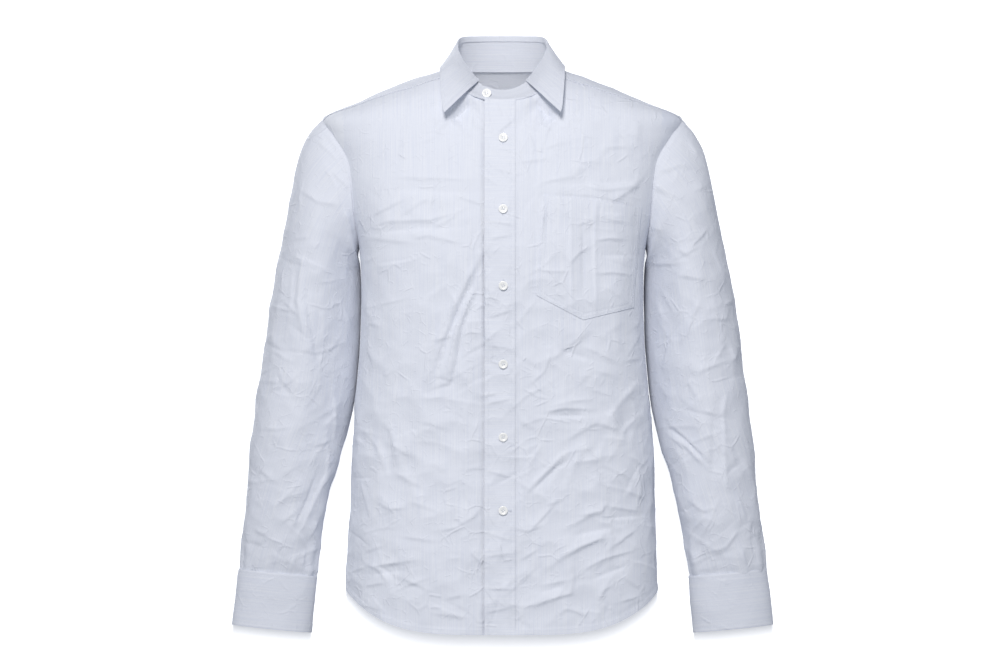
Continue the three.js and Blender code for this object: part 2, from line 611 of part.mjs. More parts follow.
// Closed geometry to a solid and back, for the one boolean cut.
function solidOf(geometry) {
  const bare = new THREE.BufferGeometry();
  bare.setAttribute("position", geometry.attributes.position.clone());
  if (geometry.index) bare.setIndex(geometry.index);
  const merged = mergeVertices(bare, 1e-4);
  return new wasm.Manifold(
    new wasm.Mesh({
      numProp: 3,
      vertProperties: merged.attributes.position.array,
      triVerts: new Uint32Array(merged.index.array),
    }),
  );
}

function geometryOf(solid) {
  const mesh = solid.getMesh();
  const geometry = new THREE.BufferGeometry();
  geometry.setAttribute("position", new THREE.Float32BufferAttribute(mesh.vertProperties, 3));
  geometry.setIndex([...mesh.triVerts]);
  geometry.computeVertexNormals();
  return geometry;
}

// The pocket: the front's own points moved out, cut to the pocket's outline.
function pocketGeometry(front) {
  const outline = new THREE.Shape([
    new THREE.Vector2(POCKET.left, POCKET_Z.left),
    new THREE.Vector2(POCKET.leftLow, POCKET_Z.leftLow),
    new THREE.Vector2(POCKET.tip, POCKET_Z.tip),
    new THREE.Vector2(POCKET.rightLow, POCKET_Z.rightLow),
    new THREE.Vector2(POCKET.right, POCKET_Z.right),
  ]);
  const prism = new THREE.ExtrudeGeometry(outline, { depth: 200, bevelEnabled: false });
  prism.rotateX(Math.PI / 2);
  const around = front.map((row) => row.slice(2));
  const skin = solidOf(wall(around, CLOTH, CLOTH + POCKET_GAP));
  return geometryOf(skin.intersect(solidOf(prism)));
}

// A four-hole button is a shallow dish with a raised rim, turned here without its holes.
function buttonGeometry() {
  const r = BUTTON / 2;
  const profile = [
    [0, 0],
    [r - 0.9, 0],
    [r, 0.9],
    [r - 0.4, 2.1],
    [r - 1.5, 2.1],
    [r - 2.1, 1.6],
    [0, 1.6],
  ];
  return new THREE.LatheGeometry(profile.map(([x, y]) => new THREE.Vector2(x, y)), BUTTON_SIDES);
}

const matt = (color, roughness) => new THREE.MeshStandardMaterial({ color, roughness, metalness: 0 });
const shirting = matt(0xd5dcec, 0.85);
const fused = matt(0xd9dfee, 0.8);
const pearl = matt(0xf1f0ea, 0.25);

const shirt = new THREE.Group();
function add(name, geometry, material) {
  const mesh = new THREE.Mesh(geometry, material);
  mesh.name = name;
  shirt.add(mesh);
  return mesh;
}

// A button whose back lies over a point of cloth, at rest on its thread.
function addButton(name, { at, out }, lift) {
  const mesh = add(name, buttonGeometry(), pearl);
  mesh.position.copy(at).addScaledVector(out, lift + BUTTON_LIFT);
  mesh.quaternion.setFromUnitVectors(new THREE.Vector3(0, 1, 0), out);
}

const frontLeft = frontGrid(1);
add("front_right", wall(frontGrid(-1), CLOTH), shirting);
add("front_left", wall(frontLeft, CLOTH), shirting);
const placketLift = CLOTH + SEAM;
add("placket", wall(frontLeft.map((row) => row.slice(0, 3)), CLOTH, placketLift), shirting);
add("pocket", pocketGeometry(frontLeft), shirting);
add("back", wall(backGrid(), CLOTH), shirting);
add("yoke", wall(yokeGrid(), CLOTH), shirting);
add("collar_stand", wall(standGrid(), FUSED), fused);
add("collar_leaf", wall(leafGrid(), FUSED), fused);

BUTTON_Z.forEach((z, i) => {
  const { at, out } = bodyCloth(turnAt(BUTTON_X, z), z);
  at.y -= SEAM;
  addButton(`button_${i + 1}`, { at, out }, placketLift);
});
const collarTurn = turnAt(COLLAR_BUTTON.x, NECK_FRONT);
addButton("collar_button", {
  at: standPoint(collarTurn, COLLAR_BUTTON.up),
  out: standNormal(collarTurn, COLLAR_BUTTON.up),
}, 0);

// The slit above each cuff is faced with a strip that lies on the sleeve behind the outer edge.
const stripColumns = [15, 18]; // the sleeve's columns from which the strip is made
const stripRow = SLEEVE_ROWS - 5; // the sleeve's row at which it starts
for (const [side, sign] of [["left", 1], ["right", -1]]) {
  const sleeve = sleeveGrid(sign);
  add(`sleeve_${side}`, wall(sleeve, CLOTH, 0, true), shirting);
  const strip = sleeve.slice(stripRow).map((row) => row.slice(stripColumns[0], stripColumns[1]));
  add(`sleeve_placket_${side}`, wall(strip, CLOTH, CLOTH + SEAM), shirting);
  const cuff = cuffGrid(sign);
  add(`cuff_${side}`, wall(cuff, FUSED), fused);
  const { at, out } = cuff[1][CUFF_COLUMNS - 1];
  addButton(`cuff_button_${side}`, { at: at.clone(), out }, 0);
}

export default shirt;
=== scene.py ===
import math

import bpy
import numpy as np
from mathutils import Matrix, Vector


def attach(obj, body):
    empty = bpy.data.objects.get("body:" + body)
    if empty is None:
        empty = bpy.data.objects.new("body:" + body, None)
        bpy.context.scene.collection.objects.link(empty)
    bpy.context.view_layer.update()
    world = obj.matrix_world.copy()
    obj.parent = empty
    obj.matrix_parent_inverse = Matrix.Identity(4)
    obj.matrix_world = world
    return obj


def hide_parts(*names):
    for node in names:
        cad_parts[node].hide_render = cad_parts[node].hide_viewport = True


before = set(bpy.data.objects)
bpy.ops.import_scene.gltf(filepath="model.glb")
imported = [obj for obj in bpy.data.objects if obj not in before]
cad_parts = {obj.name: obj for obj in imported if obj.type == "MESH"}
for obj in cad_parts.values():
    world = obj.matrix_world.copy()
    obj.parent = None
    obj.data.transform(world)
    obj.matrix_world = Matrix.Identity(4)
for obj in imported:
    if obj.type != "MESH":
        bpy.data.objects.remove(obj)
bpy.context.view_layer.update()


# ---- Camera, light and surroundings ----
# A level view of the shirt's front from far off. Soft boxes light the cloth from ahead and above, from
# both sides and from behind. A level one lights the white backdrop, which shows the shirt's shadow.

camera_data = bpy.data.cameras.new("camera")
camera_data.lens = 200
camera_data.sensor_width = 36
camera_data.clip_end = 100
camera = bpy.data.objects.new("camera", camera_data)
camera.location = (0.002, -7.0, -0.33)
camera.rotation_euler = (math.pi / 2, 0, 0)
bpy.context.scene.collection.objects.link(camera)
bpy.context.scene.camera = camera
bpy.context.scene.view_settings.view_transform = "Standard"


def add_node(tree, kind, links=(), **values):
    """A shader node with sockets linked into its inputs, by name or number, and values for others."""
    node = tree.nodes.new(kind)
    for name, value in values.items():
        node.inputs[name.replace("_", " ")].default_value = value
    for name in links:
        tree.links.new(links[name], node.inputs[name])
    return node


def new_material(name, **values):
    """A material, its tree and its Principled shader, with values for the shader's inputs."""
    material = bpy.data.materials.new(name)
    material.use_nodes = True
    shader = material.node_tree.nodes["Principled BSDF"]
    for socket, value in values.items():
        shader.inputs[socket.replace("_", " ")].default_value = value
    return material, material.node_tree, shader


# The surroundings are pale blue to the cloth and white to the camera.
world = bpy.data.worlds.new("studio")
world.use_nodes = True
world_tree = world.node_tree
sky = world_tree.nodes["Background"]
sky.inputs["Color"].default_value = (0.83, 0.885, 1.0, 1)
sky.inputs["Strength"].default_value = 0.38
white_sky = add_node(world_tree, "ShaderNodeBackground", Color=(1, 1, 1, 1))
sky_path = add_node(world_tree, "ShaderNodeLightPath")
sky_mix = add_node(world_tree, "ShaderNodeMixShader", {
    0: sky_path.outputs["Is Camera Ray"], 1: sky.outputs[0], 2: white_sky.outputs[0],
})
world_tree.links.new(sky_mix.outputs[0], world_tree.nodes["World Output"].inputs["Surface"])
bpy.context.scene.world = world

# Paper that shows from its front alone and gives the cloth neither light nor shade. In metres: half
# its width, how far it stands behind the shirt's middle, half its height.
PAPER_X, PAPER_Y, PAPER_Z = 9, 0.15, 5
backdrop_mesh = bpy.data.meshes.new("backdrop")
backdrop_mesh.from_pydata([
    (-PAPER_X, PAPER_Y, -PAPER_Z), (PAPER_X, PAPER_Y, -PAPER_Z),
    (PAPER_X, PAPER_Y, PAPER_Z), (-PAPER_X, PAPER_Y, PAPER_Z),
], [], [(0, 1, 2, 3)])
backdrop = bpy.data.objects.new("backdrop", backdrop_mesh)
backdrop.visible_diffuse = False
backdrop.visible_shadow = False
bpy.context.scene.collection.objects.link(backdrop)
paper, paper_tree, paper_shader = new_material(
    "white paper", Base_Color=(0.92, 0.92, 0.92, 1), Roughness=1, Specular_IOR_Level=0,
    Emission_Color=(1, 1, 1, 1), Emission_Strength=0.29,
)
paper_side = add_node(paper_tree, "ShaderNodeNewGeometry")
paper_clear = add_node(paper_tree, "ShaderNodeBsdfTransparent")
paper_mix = add_node(paper_tree, "ShaderNodeMixShader", {
    0: paper_side.outputs["Backfacing"], 1: paper_shader.outputs[0], 2: paper_clear.outputs[0],
})
paper_tree.links.new(paper_mix.outputs[0], paper_tree.nodes["Material Output"].inputs["Surface"])
backdrop_mesh.materials.append(paper)


def backdrop_links(name, state):
    """A light's list of what it lights: the backdrop alone, or all but the backdrop."""
    links = bpy.data.collections.new(name)
    links.objects.link(backdrop)
    links.collection_objects[0].light_linking.link_state = state
    return links


CLOTH_ONLY = backdrop_links("lights the cloth", "EXCLUDE")
BACKDROP_ONLY = backdrop_links("lights the backdrop", "INCLUDE")


def area_light(name, at, aim, wide, high, watts, color, lights):
    """A soft box at a place, turned towards what it aims at."""
    data = bpy.data.lights.new(name, "AREA")
    data.shape = "RECTANGLE"
    data.size = wide
    data.size_y = high
    data.energy = watts
    data.color = color
    lamp = bpy.data.objects.new(name, data)
    lamp.location = at
    lamp.rotation_euler = (Vector(aim) - Vector(at)).to_track_quat("-Z", "Y").to_euler()
    lamp.light_linking.receiver_collection = lights
    bpy.context.scene.collection.objects.link(lamp)


WARM, PLAIN = (1.0, 0.972, 0.95), (1.0, 1.0, 1.0)
SHIRT_MIDDLE = (0, 0, -0.35)
# name, place and aim in metres, width, height, watts, colour, what it lights
area_light("key", (-0.3, -3.3, 1.4), (0, 0, -0.4), 0.7, 0.7, 88, WARM, CLOTH_ONLY)
area_light("right_side", (-3.0, -1.6, 0.0), SHIRT_MIDDLE, 1.2, 1.2, 3.5, PLAIN, CLOTH_ONLY)
area_light("left_side", (3.0, -1.6, 0.0), SHIRT_MIDDLE, 1.2, 1.2, 1.5, PLAIN, CLOTH_ONLY)
area_light("behind", (-1.5, 2.9, 1.0), SHIRT_MIDDLE, 0.8, 0.8, 46, PLAIN, CLOTH_ONLY)
area_light("level", (0, -6.0, 0.1), (0, 0, 0.1), 0.12, 1.0, 500, PLAIN, BACKDROP_ONLY)


# ---- Right and left front ----
# Two panels of light cotton poplin, hem to yoke and armhole to opening. The left one laps over the
# right, which tucks under it. All lengths are millimetres until a mesh is made.

CLOTH = 0.75  # seen thickness of one layer
SEAM = 0.3  # gap between pieces sewn together
HEM_LOW, HEM_RISE, HEM_CURVE = -698, 53, 4.2
NECK_FRONT, NECK_BACK, NECK_OPEN = -38, 5, 31
ARM_TOP, ARM_LOW, ARM_AHEAD, ARM_BEHIND = -58, -222, 55, 58
ARM_MIDDLE = (ARM_TOP + ARM_LOW) / 2
YOKE_TURN, YOKE_ARM, YOKE_BACK = 36, 18, 54  # degrees: its seams' ends at the neck and the armhole
PLACKET_EDGE, PLACKET_FOLD, UNDERLAP = -21.5, 16, 26
ARM_STEP, NECK_COLUMNS, SHOULDER_COLUMNS, YOKE_COLUMNS = 18, 3, 5, 8

# height, half width, depth ahead of the side seams, depth behind them, roundness of the level
BODY = np.array([
    (-712, 194, 113, 121, 2.8),
    (-610, 192.5, 110, 117, 2.9),
    (-510, 188, 107, 112, 3),
    (-430, 183.5, 108, 112, 3),
    (-340, 177.5, 112, 119, 3),
    (-270, 176, 115, 126, 3),
    (-222, 178.5, 115, 129, 3),
    (-180, 189, 112.5, 128, 2.95),
    (-141, 198, 108, 124, 2.8),
    (-110, 206, 102, 119, 2.6),
    (-80, 219, 94, 113, 2.5),
    (-57, 222, 87, 106, 2.4),
    (-38, 179, 80, 98, 2.4),
    (-24, 146, 73, 90, 2.35),
    (-10, 112, 64, 79, 2.3),
    (0, 83, 57, 71, 2.3),
    (5, 67, 52, 66, 2.3),
])


def along(table, column, x):
    """A smooth value from a column of a table whose first column is x: a cubic between rows, whose
    slope at a row is that between its neighbours."""
    t, v = table[:, 0], table[:, column]
    last = len(t) - 1
    before = np.maximum(np.arange(last + 1) - 1, 0)
    after = np.minimum(np.arange(last + 1) + 1, last)
    slope = (v[after] - v[before]) / (t[after] - t[before])
    x = np.asarray(x, float)
    i = np.searchsorted(t[1:last], x, side="left")
    step = t[i + 1] - t[i]
    u = np.clip((x - t[i]) / step, -0.2, 1.2)
    return (
        v[i] * (2 * u**3 - 3 * u**2 + 1)
        + v[i + 1] * (3 * u**2 - 2 * u**3)
        + step * (slope[i] * (u**3 - 2 * u**2 + u) + slope[i + 1] * (u**3 - u**2))
    )


def smooth(x, low, high):
    """0 below low, 1 above high, and a cubic between."""
    t = np.clip((x - low) / (high - low), 0, 1)
    return t * t * (3 - 2 * t)


def body_point(turn, z):
    """Superellipse of each level: turn is the angle from the centre front, positive to the wearer's
    left; X is the half width times its sine, Y the depth times its cosine, over their norm."""
    turn, z = np.broadcast_arrays(np.asarray(turn, float), np.asarray(z, float))
    side, ahead = np.sin(turn), np.cos(turn)
    power = along(BODY, 4, z)
    reach = (np.abs(side) ** power + np.abs(ahead) ** power) ** (-1 / power)
    depth = np.where(ahead > 0, along(BODY, 2, z), along(BODY, 3, z))
    return np.stack([along(BODY, 1, z) * side * reach, -depth * ahead * reach, z], -1)


def turn_at(x, z):
    """The turn at which the front of the body has a given x: the superellipse solved for its side."""
    q = np.clip(x / along(BODY, 1, z), -1, 1)
    power = along(BODY, 4, z)
    return np.arctan2(q, (1 - np.abs(q) ** power) ** (1 / power))


def normal_of(surface, u, v, du, dv):
    """Cross product of the surface's steps along its two parameters, made one long."""
    out = np.cross(surface(u + du, v) - surface(u - du, v), surface(u, v + dv) - surface(u, v - dv))
    return out / np.maximum(np.linalg.norm(out, axis=-1, keepdims=True), 1e-9)


def neckline(turn):
    """Level at the sides and back, with a bell-shaped dip at the centre front."""
    return NECK_BACK - (NECK_BACK - NECK_FRONT) * np.exp(-((turn / math.radians(NECK_OPEN)) ** 2))


def hem_at(turn):
    """Lowest at the centres; rises with a high power of the share of the half width."""
    share = body_point(turn, HEM_LOW)[..., 0] / along(BODY, 1, HEM_LOW)
    return HEM_LOW + HEM_RISE * np.abs(share) ** HEM_CURVE


def armhole(degrees, inset=0.0):
    """Turn and height of an oval on the body seen from the side, degrees from its top to the front."""
    degrees = np.asarray(degrees, float)
    z = ARM_MIDDLE + (ARM_TOP - ARM_MIDDLE - inset) * np.cos(np.radians(degrees))
    front = np.sin(np.radians(degrees)) >= 0
    y = (np.where(front, ARM_AHEAD, ARM_BEHIND) - inset) * np.abs(np.sin(np.radians(degrees)))
    c = y / np.where(front, along(BODY, 2, z), along(BODY, 3, z))
    power = along(BODY, 4, z)
    turn = np.arctan2((1 - c**power) ** (1 / power), c)
    return np.where(front, turn, math.pi - turn), z


def panel_edge(z, front):
    """Turn, from the middle of the front or back, of that panel's edge: armhole, or side seam below."""
    highest = math.cos(math.radians(YOKE_ARM if front else YOKE_BACK))
    up = np.clip((z - ARM_MIDDLE) / (ARM_TOP - ARM_MIDDLE), -1, highest)
    degrees = np.degrees(np.arccos(up))
    return armhole(degrees)[0] if front else math.pi - armhole(-degrees)[0]


# Creases seen from the front: half width and height in millimetres (below 0 a trough), then their
# points in squares of a grid laid over the shirt, counted across and down.
SQUARE_WIDE, SQUARE_HIGH = 1.232, 1.236  # in millimetres
MIDDLE_SQUARE = 503.3  # where x is 0
CHEST_SQUARE, CHEST_LEVEL = 283, -264  # a row of squares and its z
CREASES_FRONT = [
    # right front, chest
    (2.7, 1.4, 392, 177.5, 430, 179, 471, 180), (2.5, 1.1, 456, 196, 485, 206),
    (2.7, 1.6, 372, 217, 406, 199), (2.5, 1.4, 399, 219, 424, 201, 435, 203),
    (2.7, 1.6, 367, 229, 389, 222, 431, 221, 462, 212), (2.5, 1.2, 368, 238, 416, 244),
    (2.5, 1.6, 410, 232, 419, 239, 427, 236, 462, 244), (2.5, 1.1, 430, 233, 462, 213),
    (7.6, -2, 372, 234, 420, 229, 465, 228), (8.5, -1.8, 392, 190, 470, 194),
    # right front, long folds from the opening
    (3.8, -3.8, 487, 255, 475, 276, 459, 311, 447, 340, 435, 380, 429, 391),
    (3, 2.9, 481, 254, 468, 279, 452, 311, 440, 340, 428, 380),
    (3.8, -3.2, 486, 269, 475, 299, 463, 328, 458, 360, 452, 385, 432, 391),
    (3, 2.8, 482, 280, 469, 303, 457, 330, 451, 358, 445, 384),
    (2.5, 1.5, 447, 283, 431, 297, 419, 315), (2.5, 1.2, 425, 255, 410, 262, 372, 268),
    (2.5, 1.2, 368, 323, 383, 327), (3, 1.6, 406, 333, 393, 352, 379, 369),
    (2.5, 1.2, 428, 399, 444, 397), (2.7, 1.4, 480, 397, 499, 393), (3.4, -1.5, 473, 330, 484, 372),
    # right front, belly and hem
    (3.4, 2.4, 381, 419, 391, 431, 396, 449, 399, 468), (2.9, 1.9, 368, 436, 378, 447, 388, 475),
    (2.5, 1.5, 391, 444, 411, 456), (2.7, 1.5, 396, 472, 409, 480, 424, 488),
    (2.5, 1.4, 432, 461, 446, 473), (2.9, 1.6, 378, 502, 391, 509, 406, 508),
    (2.9, 1.8, 439, 531, 457, 527, 475, 516, 484, 504), (2.5, 1.2, 455, 516, 465, 524),
    (2.5, 1.1, 453, 533, 470, 524), (2.5, 1.2, 402, 536, 437, 541), (2.9, 1.5, 365, 553, 385, 545),
    (2.9, 2, 374, 567, 397, 562, 401, 557), (2.5, 1.5, 384, 566, 418, 559),
    (2.5, 1.5, 368, 566, 377, 568, 389, 582), (2.5, 1.5, 351, 574, 366, 567), (2.5, 1.5, 364, 587, 388, 582),
    (2.9, 1.5, 400, 576, 431, 590), (2.9, 1.4, 447, 598, 464, 594), (8.5, -2.8, 372, 575, 405, 570),
    (7.6, -2.2, 384, 440, 392, 480), (2.5, 1.1, 409, 500, 440, 512), (2.5, 1.1, 466, 470, 484, 466),
    (2.5, 1.2, 420, 420, 452, 430), (2.5, 1.2, 362, 605, 380, 609), (2.5, 1.2, 430, 612, 470, 617),
    (2.5, 1.2, 360, 480, 372, 520), (2.5, 1.4, 414, 548, 404, 572), (2.5, 1.2, 470, 548, 485, 566),
    # left front, chest and armhole
    (2.7, 1.6, 569, 191, 583, 186, 605, 191, 629, 188, 650, 174), (2.9, 2.1, 614, 202, 643, 182),
    (2.5, 1.6, 600, 159, 608, 148, 631, 147), (2.5, 1.4, 520, 163, 550, 160),
    (2.7, 1.5, 536, 188, 545, 183, 576, 177, 586, 163, 608, 163), (7.6, -2.2, 566, 186, 640, 182),
    (2.5, 1.4, 528, 118, 522, 143, 519, 160), (2.5, 1.2, 534, 124, 528, 146),
    (2.5, 1.1, 543, 150, 570, 142), (2.5, 1, 620, 128, 640, 140), (2.5, 1.2, 640, 160, 652, 152),
    # pocket
    (2.5, 1.6, 572, 200, 571, 260, 573, 318), (2.2, 1.5, 595.5, 200, 595, 260, 596, 312),
    (2.5, 1.8, 595, 241, 610, 239, 625, 240), (2.5, 1.6, 595, 274, 612, 273, 630, 275),
    (2.5, 1.2, 537, 270, 553, 272, 570, 272), (2.7, 1.6, 570, 264, 580, 253, 592, 247),
    (2.5, 1.1, 545, 205, 542, 250), (2.5, 1.1, 604, 219, 627, 223), (2.5, 1.2, 618, 250, 634, 262),
    (2.2, 1.1, 602, 285, 622, 300), (2.2, 1, 556, 292, 566, 300), (6.8, -1.9, 583, 215, 584, 300),
    (6, -1.6, 600, 256, 632, 256), (2.5, 1, 577, 226, 592, 222),
    # left front, waist
    (2.9, 2.1, 554, 359, 576, 342, 592, 330), (2.7, 1.8, 581, 345, 600, 354, 620, 365),
    (2.7, 1.6, 625, 361, 645, 359), (2.7, 1.6, 625, 361, 636, 343, 644, 330),
    (2.5, 1.4, 522, 355, 518, 366, 515, 378), (2.7, 2.2, 544, 412, 568, 408, 594, 410),
    (3.4, -2, 548, 416, 590, 416), (2.5, 1.5, 551, 407, 572, 401, 594, 400),
    (2.5, 1.4, 592, 389, 609, 396), (2.9, 2.2, 638, 381, 622, 400, 610, 416, 603, 424),
    (2.9, 1.9, 641, 414, 623, 433, 623, 440, 609, 437), (2.5, 1.5, 600, 424, 622, 431),
    (2.7, 1.9, 567, 441, 584, 430, 600, 421), (2.7, 1.8, 606, 439, 597, 459, 576, 462),
    (2.7, 1.9, 581, 450, 575, 465, 564, 491), (3.4, 2.5, 576, 447, 559, 459, 529, 488),
    (3.8, -2.8, 572, 458, 556, 468, 530, 494), (2.7, 1.9, 544, 441, 534, 457, 522, 478),
    (2.7, 1.6, 601, 463, 632, 480), (7.6, -2.8, 560, 350, 590, 360), (7.6, -2.2, 622, 410, 632, 440),
    (2.5, 1.4, 530, 385, 545, 372, 552, 352), (2.5, 1.2, 596, 370, 610, 376), (2.5, 1.4, 628, 455, 646, 468),
    (2.5, 1.2, 520, 420, 536, 430),
    # left front, belly and hem
    (2.9, 2.2, 581, 515, 601, 512, 607, 503), (2.9, 2, 607, 506, 641, 512),
    (3.4, -2.2, 606, 518, 641, 517), (2.7, 1.6, 566, 529, 594, 513), (2.5, 1.4, 547, 505, 564, 499),
    (2.9, 2.1, 529, 532, 548, 512, 556, 502), (2.9, 2.1, 562, 559, 582, 547, 601, 538, 604, 550),
    (2.7, 1.8, 610, 549, 637, 529), (2.7, 1.6, 514, 527, 529, 531, 543, 525),
    (2.9, 2, 551, 567, 563, 556, 580, 546, 606, 537),
    (2.9, 2, 581, 574, 589, 567, 603, 559, 635, 550), (2.7, 1.6, 542, 585, 570, 579),
    (2.9, 2.1, 521, 605, 537, 604, 553, 598, 571, 593, 574, 577, 571, 559),
    (2.7, 1.8, 559, 615, 567, 608, 579, 611, 592, 618), (2.7, 1.8, 600, 603, 604, 590, 613, 584),
    (2.5, 1.5, 522, 606, 518, 622), (8.5, -3, 575, 535, 612, 528), (7.6, -2.5, 590, 580, 630, 565),
    (7.6, -2.5, 540, 592, 566, 585), (2.5, 1.5, 620, 575, 642, 590), (2.5, 1.4, 625, 490, 646, 500),
    (2.5, 1.4, 520, 560, 540, 548), (2.5, 1.4, 620, 602, 640, 596), (2.5, 1.2, 530, 470, 520, 500),
    # hollows under the collar's points, tucks below the stand
    (10, -11, 474, 98, 462, 110, 450, 122), (10, -11, 558, 122, 547, 110, 535, 97),
    (2.4, -1.6, 469, 96, 476, 108, 479, 124), (2.2, 1.2, 474, 96, 481, 106, 485, 120),
    (2.2, -1.2, 478, 101, 482, 112), (2.4, -1.4, 534, 96, 530, 110, 527, 124), (2, 1.0, 540, 98, 538, 116),
    # beside the placket and above the pocket's mouth
    (2, -1.3, 484, 640, 484, 560, 485, 320, 488, 112), (1.8, -1.1, 640, 207.5, 597, 198.5, 543, 195.5),
    (1.6, -1.3, 518, 112, 517.4, 290, 517.4, 640),
    (1.5, -1.3, 534.6, 297, 538.5, 245, 541.8, 197), (1.5, -1.3, 643, 212, 638, 262, 632.6, 308),
    # placket
    (2.5, 1.4, 488, 588, 514, 588), (2.5, 1.8, 497, 135, 515, 120), (2.2, 1, 490, 222, 516, 226),
    (2.2, 1, 489, 240, 512, 236), (2.2, 1.1, 488, 318, 514, 310), (2.2, 1, 487, 345, 512, 349),
    (2.2, 1.1, 487, 404, 514, 398), (2.2, 1.1, 487, 470, 514, 478), (2.2, 1.1, 486, 532, 512, 540),
    (2.2, 1, 486, 556, 514, 552), (2.2, 1.1, 486, 612, 512, 606), (2.2, 0.9, 492, 168, 516, 176),
    # right sleeve
    (9.3, -3.8, 312, 261, 306, 299, 318, 360, 330, 383), (3.4, 1.9, 303, 250, 297, 300, 306, 352),
    (2.7, 1.6, 261, 430, 277, 430, 293, 427), (3.4, 2.8, 333, 391, 333, 441),
    (2.7, 1.8, 312, 447, 330, 441), (3.1, 2.5, 327, 446, 326, 476, 313, 504, 302, 528, 296, 537),
    (3.4, -2.2, 318, 470, 308, 500, 294, 528), (2.7, 1.8, 300, 482, 285, 497, 272, 510),
    (2.5, 1.5, 281, 524, 296, 512), (2.5, 2, 302, 568, 304, 553), (2.5, 1.5, 286, 567, 284, 548),
    (2.5, 1.5, 262, 566, 265, 546), (2.5, 1.4, 275, 567, 274, 554), (2.5, 1.4, 293, 568, 294, 556),
    (2.7, 1.5, 300, 190, 318, 202, 340, 205), (2.5, 1.2, 292, 240, 310, 236), (2.5, 1.4, 282, 300, 300, 318),
    (2.7, 1.6, 334, 250, 350, 270, 356, 300), (2.5, 1.6, 340, 300, 350, 330), (2.5, 1.2, 270, 350, 290, 362),
    (2.5, 1.4, 268, 392, 288, 384, 300, 372), (2.5, 1.5, 258, 470, 272, 480), (2.5, 1.5, 252, 530, 268, 538),
    (2.5, 1.4, 330, 170, 350, 190), (2.5, 1.1, 316, 140, 338, 160), (2.7, 1.8, 344, 210, 352, 235),
    (2.5, 1.5, 338, 410, 322, 428), (2.5, 1.5, 308, 540, 318, 522),
    # left sleeve
    (2.7, 1.9, 656, 173, 672, 169, 681, 166, 701, 168), (2.7, 1.6, 653, 184, 671, 194, 689, 203),
    (2.5, 1.2, 696, 190, 709, 186), (2.7, 1.6, 694, 246, 710, 229), (2.7, 1.8, 679, 249, 693, 257),
    (2.5, 1.2, 656, 228, 664, 231), (2.9, 2, 650, 264, 681, 264), (3.4, 2, 681, 275, 710, 281),
    (2.5, 1.5, 707, 319, 732, 320), (2.7, 1.6, 727, 344, 718, 359), (2.7, 1.6, 731, 343, 739, 365),
    (2.9, 1.9, 672, 343, 667, 367), (2.7, 1.6, 728, 394, 723, 418),
    (3.4, 3.2, 673, 423, 688, 438, 712, 461), (3.4, -3, 671, 428, 690, 442, 711, 466),
    (3.1, 2.4, 669, 434, 691, 449, 709, 468), (3.2, 2.5, 725, 400, 726, 442, 728, 499),
    (2.5, 1.5, 728, 443, 737, 464), (2.7, 1.8, 742, 457, 756, 483), (2.7, 1.9, 705, 555, 729, 548, 742, 528),
    (2.5, 1.8, 700, 570, 702, 552), (2.5, 1.5, 718, 570, 716, 556), (2.5, 1.5, 748, 566, 744, 550),
    (2.5, 1.5, 690, 500, 706, 512, 718, 508), (2.5, 1.4, 738, 500, 746, 520), (2.5, 1.5, 690, 380, 700, 400),
    (2.5, 1.4, 700, 300, 690, 330), (2.5, 1.4, 715, 250, 724, 270), (2.5, 1.4, 664, 290, 676, 312),
    (2.5, 1.2, 690, 140, 700, 156), (7.6, -3, 716, 410, 714, 490), (7.6, -2.8, 690, 300, 704, 380),
]

# The same seen from behind, its points in millimetres: the hidden sides are as crumpled as the front.
CREASES_BACK = [
    (3.4, 2.2, -120, -150, -60, -168, 40, -190), (7.6, -3, -110, -164, 30, -204),
    (3.4, 2, 130, -170, 60, -214, -20, -250), (3.4, 2.5, 10, -290, 60, -330, 110, -380),
    (7.6, -3.2, 0, -304, 96, -390), (3.4, 2, -130, -300, -84, -346, -30, -400),
    (7.6, -2.8, -120, -316, -34, -412), (3.4, 2.4, -60, -450, 20, -470, 90, -500),
    (7.6, -3, -50, -464, 84, -514), (3.4, 2.1, 130, -560, 80, -584, 20, -620),
    (3.4, 2.1, -140, -520, -90, -566, -40, -600), (2.7, 1.6, -150, -230, -90, -240),
    (2.7, 1.6, 90, -250, 150, -262), (2.7, 1.8, -60, -240, -40, -300, -50, -340),
    (2.7, 1.5, 40, -130, 110, -150), (2.7, 1.6, 120, -420, 90, -470),
    (2.7, 1.5, -150, -430, -100, -452), (2.7, 1.6, 0, -540, 50, -560), (2.7, 1.6, -20, -640, 60, -650),
    (2.7, 1.6, 100, -640, 140, -600), (2.9, 1.8, -120, -640, -70, -652),
    (9.3, -3.8, 240, -300, 262, -350, 282, -400), (3.4, 2.1, 228, -296, 270, -402),
    (3.4, 2.4, 225, -450, 262, -482, 300, -520), (9.3, -3.8, -240, -280, -262, -330, -290, -380),
    (3.4, 2.1, -228, -276, -276, -382), (3.4, 2.4, -225, -430, -262, -466, -300, -500),
    (2.9, 1.8, 215, -200, 250, -230), (2.9, 1.8, -215, -190, -252, -226),
    (2.9, 1.6, 250, -540, 300, -560), (2.9, 1.6, -250, -550, -300, -540), (3.4, 1.8, -60, -60, 40, -72),
    (2.9, 1.5, 80, -40, 150, -70),
]


def from_squares(row):
    """A crease's points in millimetres, as x and z, from its grid squares."""
    width, height, *at = row
    points = np.array(at, float).reshape(-1, 2)
    points[:, 0] = (points[:, 0] - MIDDLE_SQUARE) * SQUARE_WIDE
    points[:, 1] = CHEST_LEVEL - (points[:, 1] - CHEST_SQUARE) * SQUARE_HIGH
    return width, height, points


CREASE_REACH = 7  # half widths from its line at which a crease has died away
CREASE_GENTLE, CREASE_STEEP = 1.9, 0.45  # half widths over which its sides fall off
CREASE_CREST, CREASE_END, CREASE_FADE = 0.5, 0.25, 0.3  # rounding, height left at its ends, share faded


